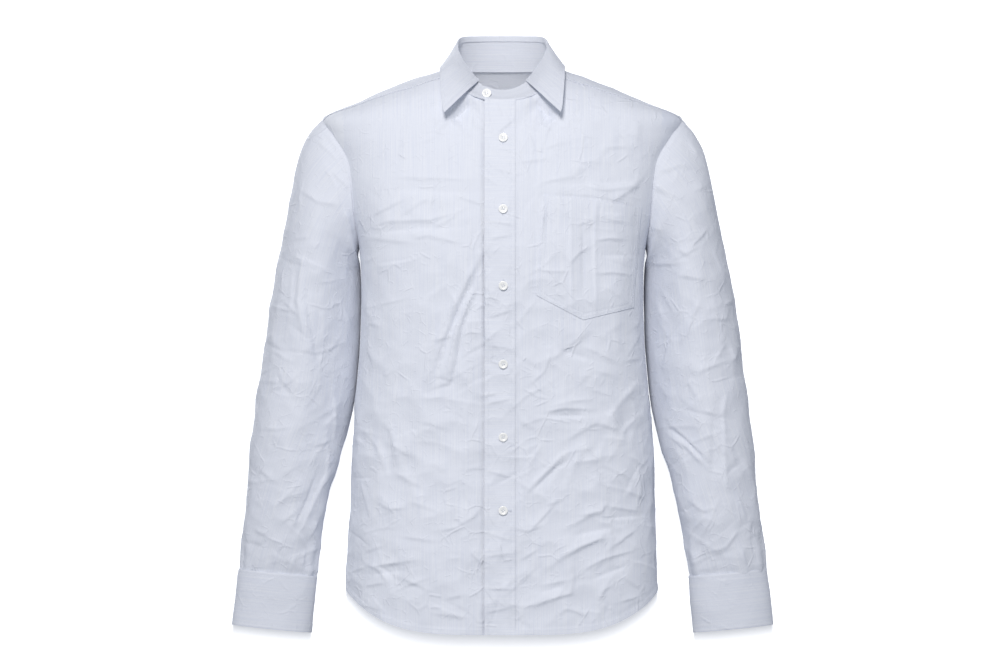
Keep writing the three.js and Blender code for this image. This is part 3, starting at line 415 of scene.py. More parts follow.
def crease_lift(creases, at, facing):
    """Sum of crease profiles: across its line each is a crest, rounded at the top, that falls off
    exponentially, steep on its right and gentle on its left, and along its line it fades in and
    out. Weighted by how far the cloth faces the way the creases are seen from."""
    x, z = at[..., 0], at[..., 2]
    lift = np.zeros(x.shape)
    for width, height, points in creases:
        reach = CREASE_REACH * width
        near = (
            (facing > 0)
            & (x > points[:, 0].min() - reach) & (x < points[:, 0].max() + reach)
            & (z > points[:, 1].min() - reach) & (z < points[:, 1].max() + reach)
        )
        if not near.any():
            continue
        p = np.stack([x[near], z[near]], -1)
        pieces = np.diff(points, axis=0)
        lengths = np.linalg.norm(pieces, axis=1)
        total, start = lengths.sum(), 0.0
        best, where, side = np.full(len(p), 1e9), np.zeros(len(p)), np.zeros(len(p))
        for a, d, length in zip(points[:-1], pieces, lengths):
            t = np.clip(((p - a) @ d) / length**2, 0, 1)
            off = p - a - t[:, None] * d
            far = np.hypot(off[:, 0], off[:, 1])
            closer = far < best
            best = np.where(closer, far, best)
            where = np.where(closer, start + t * length, where)
            side = np.where(closer, (d[0] * off[:, 1] - d[1] * off[:, 0]) / length, side)
            start += length
        fade = CREASE_FADE * total
        ends = CREASE_END + (1 - CREASE_END) * smooth(where, 0, fade) * smooth(total - where, 0, fade)
        fall = width * np.where(side > 0, CREASE_GENTLE, CREASE_STEEP)
        crest = np.exp(-(np.sqrt(best**2 + CREASE_CREST**2) - CREASE_CREST) / fall)
        lift[near] += height * ends * crest * facing[near]
    return lift


rng = np.random.default_rng(41)


def scatter(count, low, high):
    """Points spread evenly at random in a box."""
    return rng.uniform(low, high, (count, 3))


BOX_LOW, BOX_HIGH = (-345, -135, -720), (345, 140, 60)  # round the whole shirt
FACETS = scatter(5200, BOX_LOW, BOX_HIGH)
FACET_RISE = rng.uniform(0, 0.5, len(FACETS))
SMALL_FACETS = scatter(15000, BOX_LOW, BOX_HIGH)
SMALL_RISE = rng.uniform(0, 0.16, len(SMALL_FACETS))
WAVE_COUNT, WAVE_SHORT, WAVE_LONG = 7, 95, 210
WAVES = rng.normal(0, 1, (WAVE_COUNT, 3))
WAVE_LENGTHS = rng.uniform(WAVE_SHORT, WAVE_LONG, WAVE_COUNT)
WAVES *= (2 * math.pi / WAVE_LENGTHS / np.linalg.norm(WAVES, axis=1))[:, None]
WAVE_START = rng.uniform(0, 2 * math.pi, WAVE_COUNT)
LARGE_BOWL, LARGE_SPACING, LARGE_LIMIT = 95, 70, 3.2  # radius, search distance, greatest height
SMALL_BOWL, SMALL_SPACING, SMALL_LIMIT = 70, 45, 1.8
SWELL, LARGE_SHARE, SMALL_SHARE, SETTLE = 0.32, 0.9, 0.5, 1.1


def pillows(at, centres, rise, radius, spacing):
    """The lowest of many bowls, each rising with the square of the distance from its own centre: soft
    hollows that meet in sharp edges, as the flats of crushed cloth do. Worked out band by band."""
    flat = at.reshape(-1, 3)
    order = np.argsort(flat[:, 2])
    found = np.zeros(len(flat))
    by_height = np.argsort(centres[:, 2])
    centres, rise = centres[by_height], rise[by_height]
    for part in np.array_split(order, max(1, len(flat) // 500)):
        p = flat[part]
        low, high = np.searchsorted(centres[:, 2], [p[:, 2].min() - spacing, p[:, 2].max() + spacing])
        c, r = centres[low:high], rise[low:high]
        inside = np.all((c > p.min(0) - spacing) & (c < p.max(0) + spacing), axis=1)
        c, r = c[inside], r[inside]
        if len(c) == 0:
            continue
        square = (p**2).sum(1)[:, None] - 2 * p @ c.T + (c**2).sum(1)[None]
        found[part] = (square / (2 * radius) + r).min(1)
    return found.reshape(at.shape[:-1])


def crumple(at):
    """Crushed flats of two sizes on slow swells. The upper right chest is nearly smooth."""
    swell = np.sin(at @ WAVES.T + WAVE_START).sum(-1) * SWELL
    x, z = at[..., 0], at[..., 2]
    calm_chest = np.exp(-((x + 110) / 95) ** 2 - ((z + 95) / 75) ** 2) * (at[..., 1] < 20)
    rough = (0.55 + 0.45 * smooth(-z, 150, 380)) * (1 - 0.75 * calm_chest)
    rough = rough * (0.8 + 0.2 * np.sin(x / 41 + 1) * np.sin(z / 57))
    large = pillows(at, FACETS, FACET_RISE, LARGE_BOWL, LARGE_SPACING)
    small = pillows(at, SMALL_FACETS, SMALL_RISE, SMALL_BOWL, SMALL_SPACING)
    flats = LARGE_SHARE * np.minimum(large, LARGE_LIMIT) + SMALL_SHARE * np.minimum(small, SMALL_LIMIT)
    return swell + rough * (flats - SETTLE)


def small_creases(count):
    """Short bent creases all over the garment, more of them low down and towards its left."""
    lines = []
    while len(lines) < count:
        x, z = rng.uniform(-330, 330), rng.uniform(-690, -40)
        chance = 0.35 + 0.35 * (z < -300) + 0.3 * (x > 20)
        on_placket = abs(x) < 24
        if rng.random() > chance or (on_placket and rng.random() < 0.6):
            continue
        heading, long = rng.uniform(0, math.pi), rng.uniform(16, 75)
        bend = rng.uniform(-0.3, 0.3)
        first = long / 2 * np.array([math.cos(heading), math.sin(heading)])
        second = long / 2 * np.array([math.cos(heading + bend), math.sin(heading + bend)])
        middle = np.array([x, z])
        height = rng.choice([-1, 1, 1]) * rng.uniform(0.4, 1.2)
        points = np.array([middle - first, middle, middle + second])
        lines.append((rng.uniform(1.4, 2.4), height, points))
    return lines


CREASE_LINES_FRONT = [from_squares(row) for row in CREASES_FRONT] + small_creases(330)
CREASE_LINES_BACK = [
    (width, height, np.array(at, float).reshape(-1, 2)) for width, height, *at in CREASES_BACK
]
CREASE_LINES_BACK += small_creases(260)


def creases(at, out):
    """All that the crumpled cloth adds to its smooth form, along its normal."""
    return (
        crease_lift(CREASE_LINES_FRONT, at, np.clip(-1.6 * out[..., 1], 0, 1))
        + crease_lift(CREASE_LINES_BACK, at, np.clip(1.6 * out[..., 1], 0, 1))
        + crumple(at)
    )


def body_cloth(turn, z, lift=0.0):
    """Points of body cloth and their smooth normals: the form plus its creases, calm at the armhole
    and where a sleeve hangs close by the side."""
    at = body_point(turn, z)
    out = normal_of(body_point, turn, z, 0.002, 0.2)
    reach = np.where(at[..., 1] < 0, ARM_AHEAD, ARM_BEHIND)
    from_arm = np.hypot(at[..., 1] / reach, (at[..., 2] - ARM_MIDDLE) / (ARM_TOP - ARM_MIDDLE))
    calm = smooth(from_arm, 1.02, 1.13)
    beside = smooth(np.abs(at[..., 0]), 165, 176) * smooth(at[..., 2], -420, -370)
    calm = calm * (1 - 0.75 * beside)
    return at + out * (calm * creases(at, out) + lift)[..., None], out


def group_node(tree, group, **values):
    """A shader group placed in a material, with its values."""
    node = tree.nodes.new("ShaderNodeGroup")
    node.node_tree = group
    for name, value in values.items():
        node.inputs[name.replace("_", " ")].default_value = value
    return node


def math_node(tree, operation, *inputs, kind="ShaderNodeMath"):
    """A sum, product or function of numbers, vectors or sockets."""
    node = tree.nodes.new(kind)
    node.operation = operation
    for i, value in enumerate(inputs):
        if isinstance(value, bpy.types.NodeSocket):
            tree.links.new(value, node.inputs[i])
        else:
            node.inputs[i].default_value = value
    return node.outputs[0]


VECTOR = "ShaderNodeVectorMath"
STRIPE, THREAD = 0.0015, 0.0005  # pitch of the stripe and of the weave, in metres


def poplin_group():
    """Hairline stripe: the first cloth coordinate over the pitch gives a wave between the white and
    the blue threads; stretched noise varies the threads, and two crossed waves are the weave."""
    tree = bpy.data.node_groups.new("hairline poplin", "ShaderNodeTree")
    for name, kind in (("Cloth", "NodeSocketVector"), ("Pitch", "NodeSocketFloat"),
                       ("White Thread", "NodeSocketColor"), ("Blue Thread", "NodeSocketColor")):
        tree.interface.new_socket(name=name, in_out="INPUT", socket_type=kind)
    tree.interface.new_socket(name="Color", in_out="OUTPUT", socket_type="NodeSocketColor")
    tree.interface.new_socket(name="Height", in_out="OUTPUT", socket_type="NodeSocketFloat")
    start, end = tree.nodes.new("NodeGroupInput"), tree.nodes.new("NodeGroupOutput")
    split = tree.nodes.new("ShaderNodeSeparateXYZ")
    tree.links.new(start.outputs["Cloth"], split.inputs[0])
    phase = math_node(tree, "DIVIDE", split.outputs[0], start.outputs["Pitch"])
    wave = math_node(tree, "SINE", math_node(tree, "MULTIPLY", phase, 2 * math.pi))
    stretched = math_node(tree, "MULTIPLY", start.outputs["Cloth"], (900, 14, 1), kind=VECTOR)
    streaks = add_node(tree, "ShaderNodeTexNoise", {"Vector": stretched}, Scale=1, Detail=3)
    streak = math_node(tree, "MULTIPLY_ADD", streaks.outputs["Fac"], 0.7, -0.35)
    blue = math_node(tree, "MULTIPLY_ADD", wave, 0.15, math_node(tree, "ADD", streak, 0.5))
    mix = tree.nodes.new("ShaderNodeMix")
    mix.data_type = "RGBA"
    mix.clamp_factor = True
    tree.links.new(blue, mix.inputs["Factor"])
    tree.links.new(start.outputs["White Thread"], mix.inputs[6])
    tree.links.new(start.outputs["Blue Thread"], mix.inputs[7])
    tree.links.new(mix.outputs[2], end.inputs["Color"])
    warp, weft = (
        math_node(tree, "SINE", math_node(tree, "MULTIPLY", split.outputs[k], 2 * math.pi / THREAD))
        for k in (0, 1)
    )
    weave = math_node(tree, "MULTIPLY", warp, weft)
    height = math_node(tree, "MULTIPLY_ADD", streaks.outputs["Fac"], 0.4, weave)
    tree.links.new(height, end.inputs["Height"])
    return tree


def crush_group():
    """Small creases left by crushing: edges of two warped cell patterns, raised where a patchy mask
    lets them through, and fine noise between them. Height is in millimetres."""
    tree = bpy.data.node_groups.new("crushed cloth", "ShaderNodeTree")
    tree.interface.new_socket(name="Place", in_out="INPUT", socket_type="NodeSocketVector")
    tree.interface.new_socket(name="Amount", in_out="INPUT", socket_type="NodeSocketFloat")
    tree.interface.new_socket(name="Height", in_out="OUTPUT", socket_type="NodeSocketFloat")
    start, end = tree.nodes.new("NodeGroupInput"), tree.nodes.new("NodeGroupOutput")
    place = start.outputs["Place"]
    warp = add_node(tree, "ShaderNodeTexNoise", {"Vector": place}, Scale=22, Detail=2)
    bend = (0.012, 0.012, 0.012)
    bent = math_node(tree, "MULTIPLY_ADD", warp.outputs["Color"], bend, place, kind=VECTOR)
    total = None
    # cells to a metre, the share of a cell that its edge takes up, the edge's height, a shift
    for scale, wide, high, seed in ((30, 0.07, 0.62, 4.0), (70, 0.1, 0.34, 9.0)):
        cells = add_node(tree, "ShaderNodeTexVoronoi", {"Vector": bent}, Scale=scale)
        cells.feature = "DISTANCE_TO_EDGE"
        edge = add_node(
            tree, "ShaderNodeMapRange", {"Value": cells.outputs["Distance"]},
            From_Min=0, From_Max=wide, To_Min=high, To_Max=0,
        )
        edge.interpolation_type = "SMOOTHSTEP"
        shift = math_node(tree, "ADD", place, (seed, seed, seed), kind=VECTOR)
        patch = add_node(tree, "ShaderNodeTexNoise", {"Vector": shift}, Scale=scale * 1.1, Detail=1)
        mask = add_node(
            tree, "ShaderNodeMapRange", {"Value": patch.outputs["Fac"]}, From_Min=0.51, From_Max=0.66
        )
        mask.interpolation_type = "SMOOTHSTEP"
        part = math_node(tree, "MULTIPLY", edge.outputs[0], mask.outputs[0])
        total = part if total is None else math_node(tree, "ADD", total, part)
    fine = add_node(tree, "ShaderNodeTexNoise", {"Vector": place}, Scale=90, Detail=4)
    total = math_node(tree, "ADD", total, math_node(tree, "MULTIPLY", fine.outputs["Fac"], 0.3))
    tree.links.new(math_node(tree, "MULTIPLY", total, start.outputs["Amount"]), end.inputs["Height"])
    return tree


POPLIN, CRUSH = poplin_group(), crush_group()
WHITE_THREAD = (0.865, 0.88, 0.90, 1)
BLUE_THREAD = (0.63, 0.67, 0.785, 1)


def poplin(name, amount, roughness=0.82):
    """Matt cotton with the stripe on its cloth coordinates and small creases on its place."""
    material, tree, shader = new_material(
        name, Roughness=roughness, Specular_IOR_Level=0.25, Sheen_Weight=0.12, Sheen_Roughness=0.5
    )
    place = tree.nodes.new("ShaderNodeTexCoord")
    cloth = group_node(tree, POPLIN, Pitch=STRIPE, White_Thread=WHITE_THREAD, Blue_Thread=BLUE_THREAD)
    crush = group_node(tree, CRUSH, Amount=amount)
    tree.links.new(place.outputs["UV"], cloth.inputs["Cloth"])
    tree.links.new(place.outputs["Object"], crush.inputs["Place"])
    tree.links.new(cloth.outputs["Color"], shader.inputs["Base Color"])
    height = math_node(tree, "MULTIPLY_ADD", cloth.outputs["Height"], 0.02, crush.outputs["Height"])
    bump = add_node(tree, "ShaderNodeBump", {"Height": height}, Distance=0.001)
    tree.links.new(bump.outputs["Normal"], shader.inputs["Normal"])
    return material


body_poplin = poplin("crushed poplin", 0.8)


METRES = 0.001  # in a millimetre


def make_mesh(name, points, faces, uv, material):
    """A mesh in metres from millimetre points, with the cloth coordinates of each face corner."""
    mesh = bpy.data.meshes.new(name)
    mesh.from_pydata((points * METRES).tolist(), [], faces)
    if uv is not None:
        mesh.uv_layers.new(name="cloth").data.foreach_set("uv", (uv * METRES).ravel())
    mesh.polygons.foreach_set("use_smooth", np.ones(len(mesh.polygons), bool))
    mesh.set_sharp_from_angle(angle=math.radians(50))
    mesh.materials.append(material)
    piece = bpy.data.objects.new(name, mesh)
    bpy.context.scene.collection.objects.link(piece)
    return piece


def cloth_piece(name, at, out, u, v, thick, material, ring=False):
    """A sheet of cloth: the grid of points, every other one of them moved in by the thickness for the
    inner side, and the edges between. A ring's last column joins its first. u and v are the cloth's
    own coordinates. The grid has an odd number of rows and columns, or of rows alone in a ring."""
    rows, columns = at.shape[:2]
    wide = columns + 1 if ring else columns
    outer = np.arange(rows * columns).reshape(rows, columns)
    if ring:
        outer = np.concatenate([outer, outer[:, :1]], 1)
    inner_at = (at - out * thick)[::2, ::2]
    inner = rows * columns + np.arange(inner_at[..., 0].size).reshape(inner_at.shape[:2])
    if ring:
        inner = np.concatenate([inner, inner[:, :1]], 1)
    corner = np.arange(rows * wide).reshape(rows, wide)
    uv_points = np.stack([np.broadcast_to(w, (rows, wide)).ravel() for w in (u, v)], -1)

    def cells(grid):
        return np.stack([grid[:-1, :-1], grid[:-1, 1:], grid[1:, 1:], grid[1:, :-1]], -1).reshape(-1, 4)

    def edge(outside, inside):
        a, b, c = outside[:-1:2], outside[1::2], outside[2::2]
        return np.stack([c, b, a, inside[:-1], inside[1:]], -1)

    quads = np.concatenate([cells(outer), cells(inner)[:, ::-1]])
    quad_corners = np.concatenate([cells(corner), cells(corner[::2, ::2])[:, ::-1]])
    lines = [(0, slice(None)), (-1, slice(None, None, -1))]
    if not ring:
        lines += [(slice(None, None, -1), 0), (slice(None), -1)]
    coarse = corner[::2, ::2]
    rims = np.concatenate([edge(outer[line], inner[line]) for line in lines])
    rim_corners = np.concatenate([edge(corner[line], coarse[line]) for line in lines])
    p, q = rows // 2, columns // 2
    turned = np.cross(at[p, q + 1] - at[p, q], at[p + 1, q] - at[p, q])
    if turned @ out[p, q] < 0:
        quads, quad_corners = quads[:, ::-1], quad_corners[:, ::-1]
        rims, rim_corners = rims[:, ::-1], rim_corners[:, ::-1]
    points = np.concatenate([at.reshape(-1, 3), inner_at.reshape(-1, 3)])
    uv = uv_points[np.concatenate([quad_corners.ravel(), rim_corners.ravel()])]
    return make_mesh("cloth_" + name, points, quads.tolist() + rims.tolist(), uv, material)


def sewn(piece):
    """Hangs a cloth piece on the root and hides the model's part that it stands for."""
    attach(piece, "root")
    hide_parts(piece.name.removeprefix("cloth_"))


def inset_line(at, out, distance, end="first", across=False, lift=0.0):
    """A line on a grid at a distance from one of its edges, measured along its columns, or along its
    rows when across; with the normals there."""
    if across:
        at, out = at.transpose(1, 0, 2), out.transpose(1, 0, 2)
    if end == "last":
        at, out = at[::-1], out[::-1]
    steps = np.linalg.norm(np.diff(at, axis=0), axis=-1)
    far = np.concatenate([np.zeros((1, at.shape[1])), np.cumsum(steps, 0)])
    i = np.clip((far < distance).sum(0) - 1, 0, len(at) - 2)
    cols = np.arange(at.shape[1])
    step = np.maximum(far[i + 1, cols] - far[i, cols], 1e-6)
    t = np.clip((distance - far[i, cols]) / step, 0, 1)[:, None]
    path = at[i, cols] * (1 - t) + at[i + 1, cols] * t
    up = out[i, cols]
    return path + up * lift, up


def fine(start, stop, parts):
    """Columns between two whole columns, each divided in so many parts."""
    return np.arange((stop - start) * parts + 1) / parts + start


def front_top(column):
    """Upper end of a front's columns: neckline, then the yoke's seam, then down the armhole."""
    start = float(turn_at(PLACKET_FOLD, NECK_FRONT))
    yoke = math.radians(YOKE_TURN)
    neck = start + (yoke - start) * column / NECK_COLUMNS
    past = column - NECK_COLUMNS
    end_turn, end_z = armhole(YOKE_ARM)
    t = past / SHOULDER_COLUMNS
    hole_turn, hole_z = armhole(YOKE_ARM + np.maximum(past - SHOULDER_COLUMNS, 0) * ARM_STEP)
    zones = [column <= NECK_COLUMNS, past <= SHOULDER_COLUMNS]
    turn = np.select(zones, [neck, yoke + (end_turn - yoke) * t], hole_turn)
    seam_z = neckline(yoke) + (end_z - neckline(yoke)) * t
    return turn, np.select(zones, [neckline(neck), seam_z], hole_z)


FRONT_COLUMNS = NECK_COLUMNS + SHOULDER_COLUMNS + (180 - YOKE_ARM) // ARM_STEP
FRONT_ROWS, FRONT_PARTS, STRAIGHT_STEP = 400, 8, 4


def front_grid(edge):
    """Turns and heights of a left front whose opening edge is at x = edge. Columns hang from the
    neckline, yoke seam and armhole to the hem: straight beside the opening, and at a share of the
    way to the armhole or side seam further out."""
    v = np.linspace(0, 1, FRONT_ROWS + 1)[:, None]
    x = np.linspace(edge, PLACKET_FOLD, 2 * round((PLACKET_FOLD - edge) / STRAIGHT_STEP) + 1)
    open_low, open_top = hem_at(turn_at(x, HEM_LOW)), neckline(turn_at(x, NECK_FRONT))
    open_z = open_low + (open_top - open_low) * v
    column = fine(0, FRONT_COLUMNS, FRONT_PARTS)[1:]
    share = column / FRONT_COLUMNS
    low_turn = turn_at(PLACKET_FOLD, HEM_LOW) * (1 - share) + math.pi / 2 * share
    low_z = hem_at(low_turn)
    top_turn, top_z = front_top(column)
    z = low_z + (top_z - low_z) * v
    low_x, top_x = body_point(low_turn, low_z)[:, 0], body_point(top_turn, top_z)[:, 0]
    straight = turn_at(low_x + (top_x - low_x) * v, z)
    low_share, top_share = low_turn / panel_edge(low_z, True), top_turn / panel_edge(top_z, True)
    curved = (low_share + (top_share - low_share) * v) * panel_edge(z, True)
    turn = straight + (curved - straight) * smooth(share, 0.1, 0.45)
    return np.concatenate([turn_at(x, open_z), turn], 1), np.concatenate([open_z, z], 1)


STRAIGHT_ABOVE = -150  # the level above which the threads go straight up
LEVELS = np.linspace(-720, STRAIGHT_ABOVE, 40)
LEVEL_TURNS = np.linspace(0, math.pi, 721)
LEVEL_POINTS = body_point(LEVEL_TURNS[None, :], LEVELS[:, None])
LEVEL_STEPS = np.linalg.norm(np.diff(LEVEL_POINTS, axis=1), axis=-1)
LEVEL_ARCS = np.concatenate([np.zeros((len(LEVELS), 1)), np.cumsum(LEVEL_STEPS, 1)], 1)


def across_body(turn, z):
    """Distance round the body from its centre front along the level at z. Where the threads go
    straight up, it is that of the point at the same x on the last level below."""
    level = np.minimum(z, LEVELS[-1])
    x = np.abs(body_point(turn, z)[..., 0])
    low = np.abs(turn)
    high_turn = np.abs(turn_at(x, level))
    high_turn = np.where(low > math.pi / 2, math.pi - high_turn, high_turn)
    turned = np.where(z > LEVELS[-1], high_turn, low)
    i = (level - LEVELS[0]) / (LEVELS[1] - LEVELS[0])
    j = turned / (LEVEL_TURNS[1] - LEVEL_TURNS[0])
    i0 = np.clip(i.astype(int), 0, len(LEVELS) - 2)
    j0 = np.clip(j.astype(int), 0, len(LEVEL_TURNS) - 2)
    a, b = i - i0, j - j0
    low_arc = LEVEL_ARCS[i0, j0] * (1 - b) + LEVEL_ARCS[i0, j0 + 1] * b
    high_arc = LEVEL_ARCS[i0 + 1, j0] * (1 - b) + LEVEL_ARCS[i0 + 1, j0 + 1] * b
    return np.sign(turn) * (low_arc * (1 - a) + high_arc * a)


def along_rows(at):
    """Distance along each row from its first column."""
    steps = np.linalg.norm(np.diff(at, axis=1), axis=-1)
    return np.concatenate([np.zeros((len(at), 1)), np.cumsum(steps, 1)], 1)


def dip(distance, row, depth, wide):
    """The groove that a row of stitches pulls into the cloth: a bell across the row."""
    return depth * np.exp(-((distance - row) / wide) ** 2)


def hem_roll(at, low_z, wide=7.0, high=0.6):
    """Lift of a turned-up hem: a low step over its width above the edge, with a groove inside it."""
    up = at[..., 2] - low_z
    return high * (1 - smooth(up, wide, wide + 1.5)) - dip(up, wide - 1, 0.3, 0.9)


def panel_piece(name, turn, z, shift, lift):
    """A body panel from its grid of turns and heights."""
    at, out = body_cloth(turn, z, lift)
    at = at + np.array(shift)
    piece = cloth_piece(name, at, out, across_body(turn, z), z, CLOTH, body_poplin)
    sewn(piece)
    return piece, at, out


LAP_DEPTH, EDGE_DEPTH, EDGE_START, EDGE_STOP = 1.5, 2.2, -24.6, -22.3


def under_lap(x):
    """How far the right front has settled below the left one: more of it at the left one's edge."""
    under = smooth(x, PLACKET_EDGE - UNDERLAP, PLACKET_EDGE - 2)
    return -LAP_DEPTH * under - EDGE_DEPTH * smooth(x, EDGE_START, EDGE_STOP)


right_turn, right_z = front_grid(-PLACKET_FOLD)
right_turn = -right_turn
right_x = body_point(right_turn, right_z)
front_right, right_at, right_out = panel_piece(
    "front_right", right_turn, right_z, (0, -SEAM, 0),
    under_lap(right_x[..., 0]) + hem_roll(right_x, right_z[:1]),
)
left_turn, left_z = front_grid(PLACKET_EDGE)
left_x = body_point(left_turn, left_z)
front_left, left_at, left_out = panel_piece(
    "front_left", left_turn, left_z, (0, -SEAM, 0), hem_roll(left_x, left_z[:1]),
)


# ---- Placket ----
# A straight strip of the same cloth, cut across the stripe, folded and stitched down both sides of
# the left front's edge. The buttonholes are in it.

def front_strip(x, z, lift):
    """Cloth on the left front at given x and z, as far out as its own lift."""
    at, out = body_cloth(turn_at(x, z), z, lift)
    return at + np.array([0, -SEAM, 0]), out


PLACKET_PAST, PLACKET_STITCH = 0.4, 5.5  # how far it wraps the edge, its stitches from its own edges
placket_x = np.linspace(PLACKET_EDGE - PLACKET_PAST, PLACKET_FOLD, 31)[None, :]
placket_v = np.linspace(0, 1, 441)[:, None]
placket_low = hem_at(turn_at(placket_x, HEM_LOW))
placket_top = neckline(turn_at(placket_x, NECK_FRONT))
placket_z = placket_low + (placket_top - placket_low) * placket_v
from_edge = np.minimum(placket_x - PLACKET_EDGE + PLACKET_PAST, PLACKET_FOLD - placket_x)
puckers = np.sin(placket_z / 2.3 + 2 * np.sin(placket_z / 19)) * dip(from_edge, PLACKET_STITCH, 0.16, 2.2)
placket_lift = (
    1.35
    + 0.35 * smooth(from_edge, 0, 1.4)
    - dip(from_edge, PLACKET_STITCH, 0.6, 1.0)
    + puckers
)
placket_at, placket_out = front_strip(placket_x, placket_z, placket_lift)
placket_poplin = poplin("poplin across", 0.7)
placket = cloth_piece("placket", placket_at, placket_out, placket_z, placket_x, 0.9, placket_poplin)
sewn(placket)


# ---- Pocket ----
# A patch of the same cloth with a pointed foot on the left chest, its edges turned in and stitched
# twice, its mouth folded and open.

POCKET_ROWS, POCKET_COLUMNS = 90, 84
pocket_u = np.linspace(0, 1, POCKET_COLUMNS + 1)[None, :]
pocket_v = np.linspace(0, 1, POCKET_ROWS + 1)[:, None]
POCKET_WIDE, POCKET_HIGH, POCKET_STITCHES = 121, 140, (2.2, 6.5)
# x and z of the foot's corners and tip and of the mouth's ends
FOOT_LEFT, FOOT_RIGHT, TIP, TIP_SHARE = (42, -280), (160.5, -294.5), (99.5, -310), 0.5
MOUTH_LEFT, MOUTH_RIGHT = (51, -157), (172, -171)


def pocket_foot(k):
    """The foot's x or z: straight from its left corner to the tip and on to its right corner."""
    to_tip = FOOT_LEFT[k] + (TIP[k] - FOOT_LEFT[k]) * pocket_u / TIP_SHARE
    from_tip = TIP[k] + (FOOT_RIGHT[k] - TIP[k]) * (pocket_u - TIP_SHARE) / (1 - TIP_SHARE)
    return np.where(pocket_u < TIP_SHARE, to_tip, from_tip)


foot_x, foot_z = pocket_foot(0), pocket_foot(1)
mouth_x, mouth_z = (a + (b - a) * pocket_u for a, b in zip(MOUTH_LEFT, MOUTH_RIGHT))
pocket_x = foot_x + (mouth_x - foot_x) * pocket_v
pocket_z = foot_z + (mouth_z - foot_z) * pocket_v
side_in = np.minimum(pocket_u, 1 - pocket_u) * POCKET_WIDE
pocket_in = np.minimum(side_in, pocket_v * POCKET_HIGH)
pocket_lift = (
    1.15
    + 0.35 * smooth(pocket_in, 0, 1.2)
    - sum(dip(pocket_in, row, 0.6, 1.0) for row in POCKET_STITCHES)
    + 0.5 * smooth(pocket_in, 7, 22) + 1.3 * smooth(pocket_v, 0.72, 1) * smooth(side_in, 3, 26)
)
pocket_at, pocket_out = front_strip(pocket_x, pocket_z, pocket_lift)
pocket = cloth_piece("pocket", pocket_at, pocket_out, pocket_x, pocket_z, 0.7, body_poplin)
sewn(pocket)


# ---- Back ----
# One panel, side seam to side seam, sewn to the yoke above, with the same turned-up curved hem.

def back_edge(column, arm_step):
    """The edge that back and yoke share, and then the armhole, for columns counted from the middle."""
    corner_turn, corner_z = armhole(-YOKE_BACK)
    hole_turn, hole_z = armhole(-YOKE_BACK + np.maximum(column - YOKE_COLUMNS, 0) * arm_step)
    on_seam = column <= YOKE_COLUMNS
    turn = math.pi + (corner_turn - math.pi) * column / YOKE_COLUMNS
    return np.where(on_seam, turn, hole_turn), np.where(on_seam, corner_z, hole_z)


BACK_HALF = YOKE_COLUMNS + (180 - YOKE_BACK) // ARM_STEP
BACK_PARTS, BACK_ROWS = 7, 231
back_column = fine(-BACK_HALF, BACK_HALF, BACK_PARTS)
back_count = np.abs(back_column)
back_side = np.where(back_column < 0, -1, 1)
back_v = np.linspace(0, 1, BACK_ROWS)[:, None]
back_top_turn, back_top_z = back_edge(back_count, -ARM_STEP)
back_low = back_count / BACK_HALF
back_low_z = hem_at(back_low * math.pi / 2)
back_z = back_low_z + (back_top_z - back_low_z) * back_v
back_share = (math.pi - back_top_turn) / panel_edge(back_top_z, False)
back_turn = math.pi - (back_low + (back_share - back_low) * back_v) * panel_edge(back_z, False)
back_smooth = body_point(back_turn, back_z)
back, back_at, back_out = panel_piece(
    "back", back_side * back_turn, back_z, (0, 0, -SEAM), hem_roll(back_smooth, back_low_z[None, :]),
)


# ---- Yoke ----
# The shoulder piece, cut across the stripe: from the seam on the back over the shoulders to the
# seams on the fronts. Seams lie towards it.

YOKE_HALF = YOKE_COLUMNS + (YOKE_BACK + YOKE_ARM) // ARM_STEP
YOKE_PARTS, YOKE_ROWS = 10, 73
YOKE_DEEP, YOKE_COLUMN, YOKE_STITCH = 90, 21, 1.8  # its depth, a column's width, its stitches' inset
yoke_column = fine(-YOKE_HALF, YOKE_HALF, YOKE_PARTS)
yoke_count = np.abs(yoke_column)
yoke_side = np.where(yoke_column < 0, -1, 1)
yoke_v = np.linspace(0, 1, YOKE_ROWS)[:, None]
yoke_neck = math.pi + (math.radians(YOKE_TURN) - math.pi) * yoke_count / YOKE_HALF
yoke_edge_turn, yoke_edge_z = back_edge(yoke_count, ARM_STEP)
yoke_turn = yoke_side * (yoke_neck + (yoke_edge_turn - yoke_neck) * yoke_v)
yoke_z = neckline(yoke_neck) + (yoke_edge_z - neckline(yoke_neck)) * yoke_v
yoke_in = np.minimum((1 - yoke_v) * YOKE_DEEP, (YOKE_HALF - yoke_count)[None, :] * YOKE_COLUMN)
yoke_lift = 1.0 * (1 - smooth(yoke_in, 4.5, 6)) - dip(yoke_in, 6, 0.3, 1.2)
yoke_at, yoke_out = body_cloth(yoke_turn, yoke_z, yoke_lift)
yoke_poplin = poplin("yoke poplin", 0.7)
yoke_down = yoke_at[..., 1] - yoke_at[..., 2]
yoke = cloth_piece("yoke", yoke_at, yoke_out, yoke_down, yoke_at[..., 0], CLOTH, yoke_poplin)
sewn(yoke)


# ---- Sleeves ----
# Long sleeves that taper to the cuff, sewn into the armholes, the seam under the arm. They hang
# close to the body, their inner sides set back beside it.

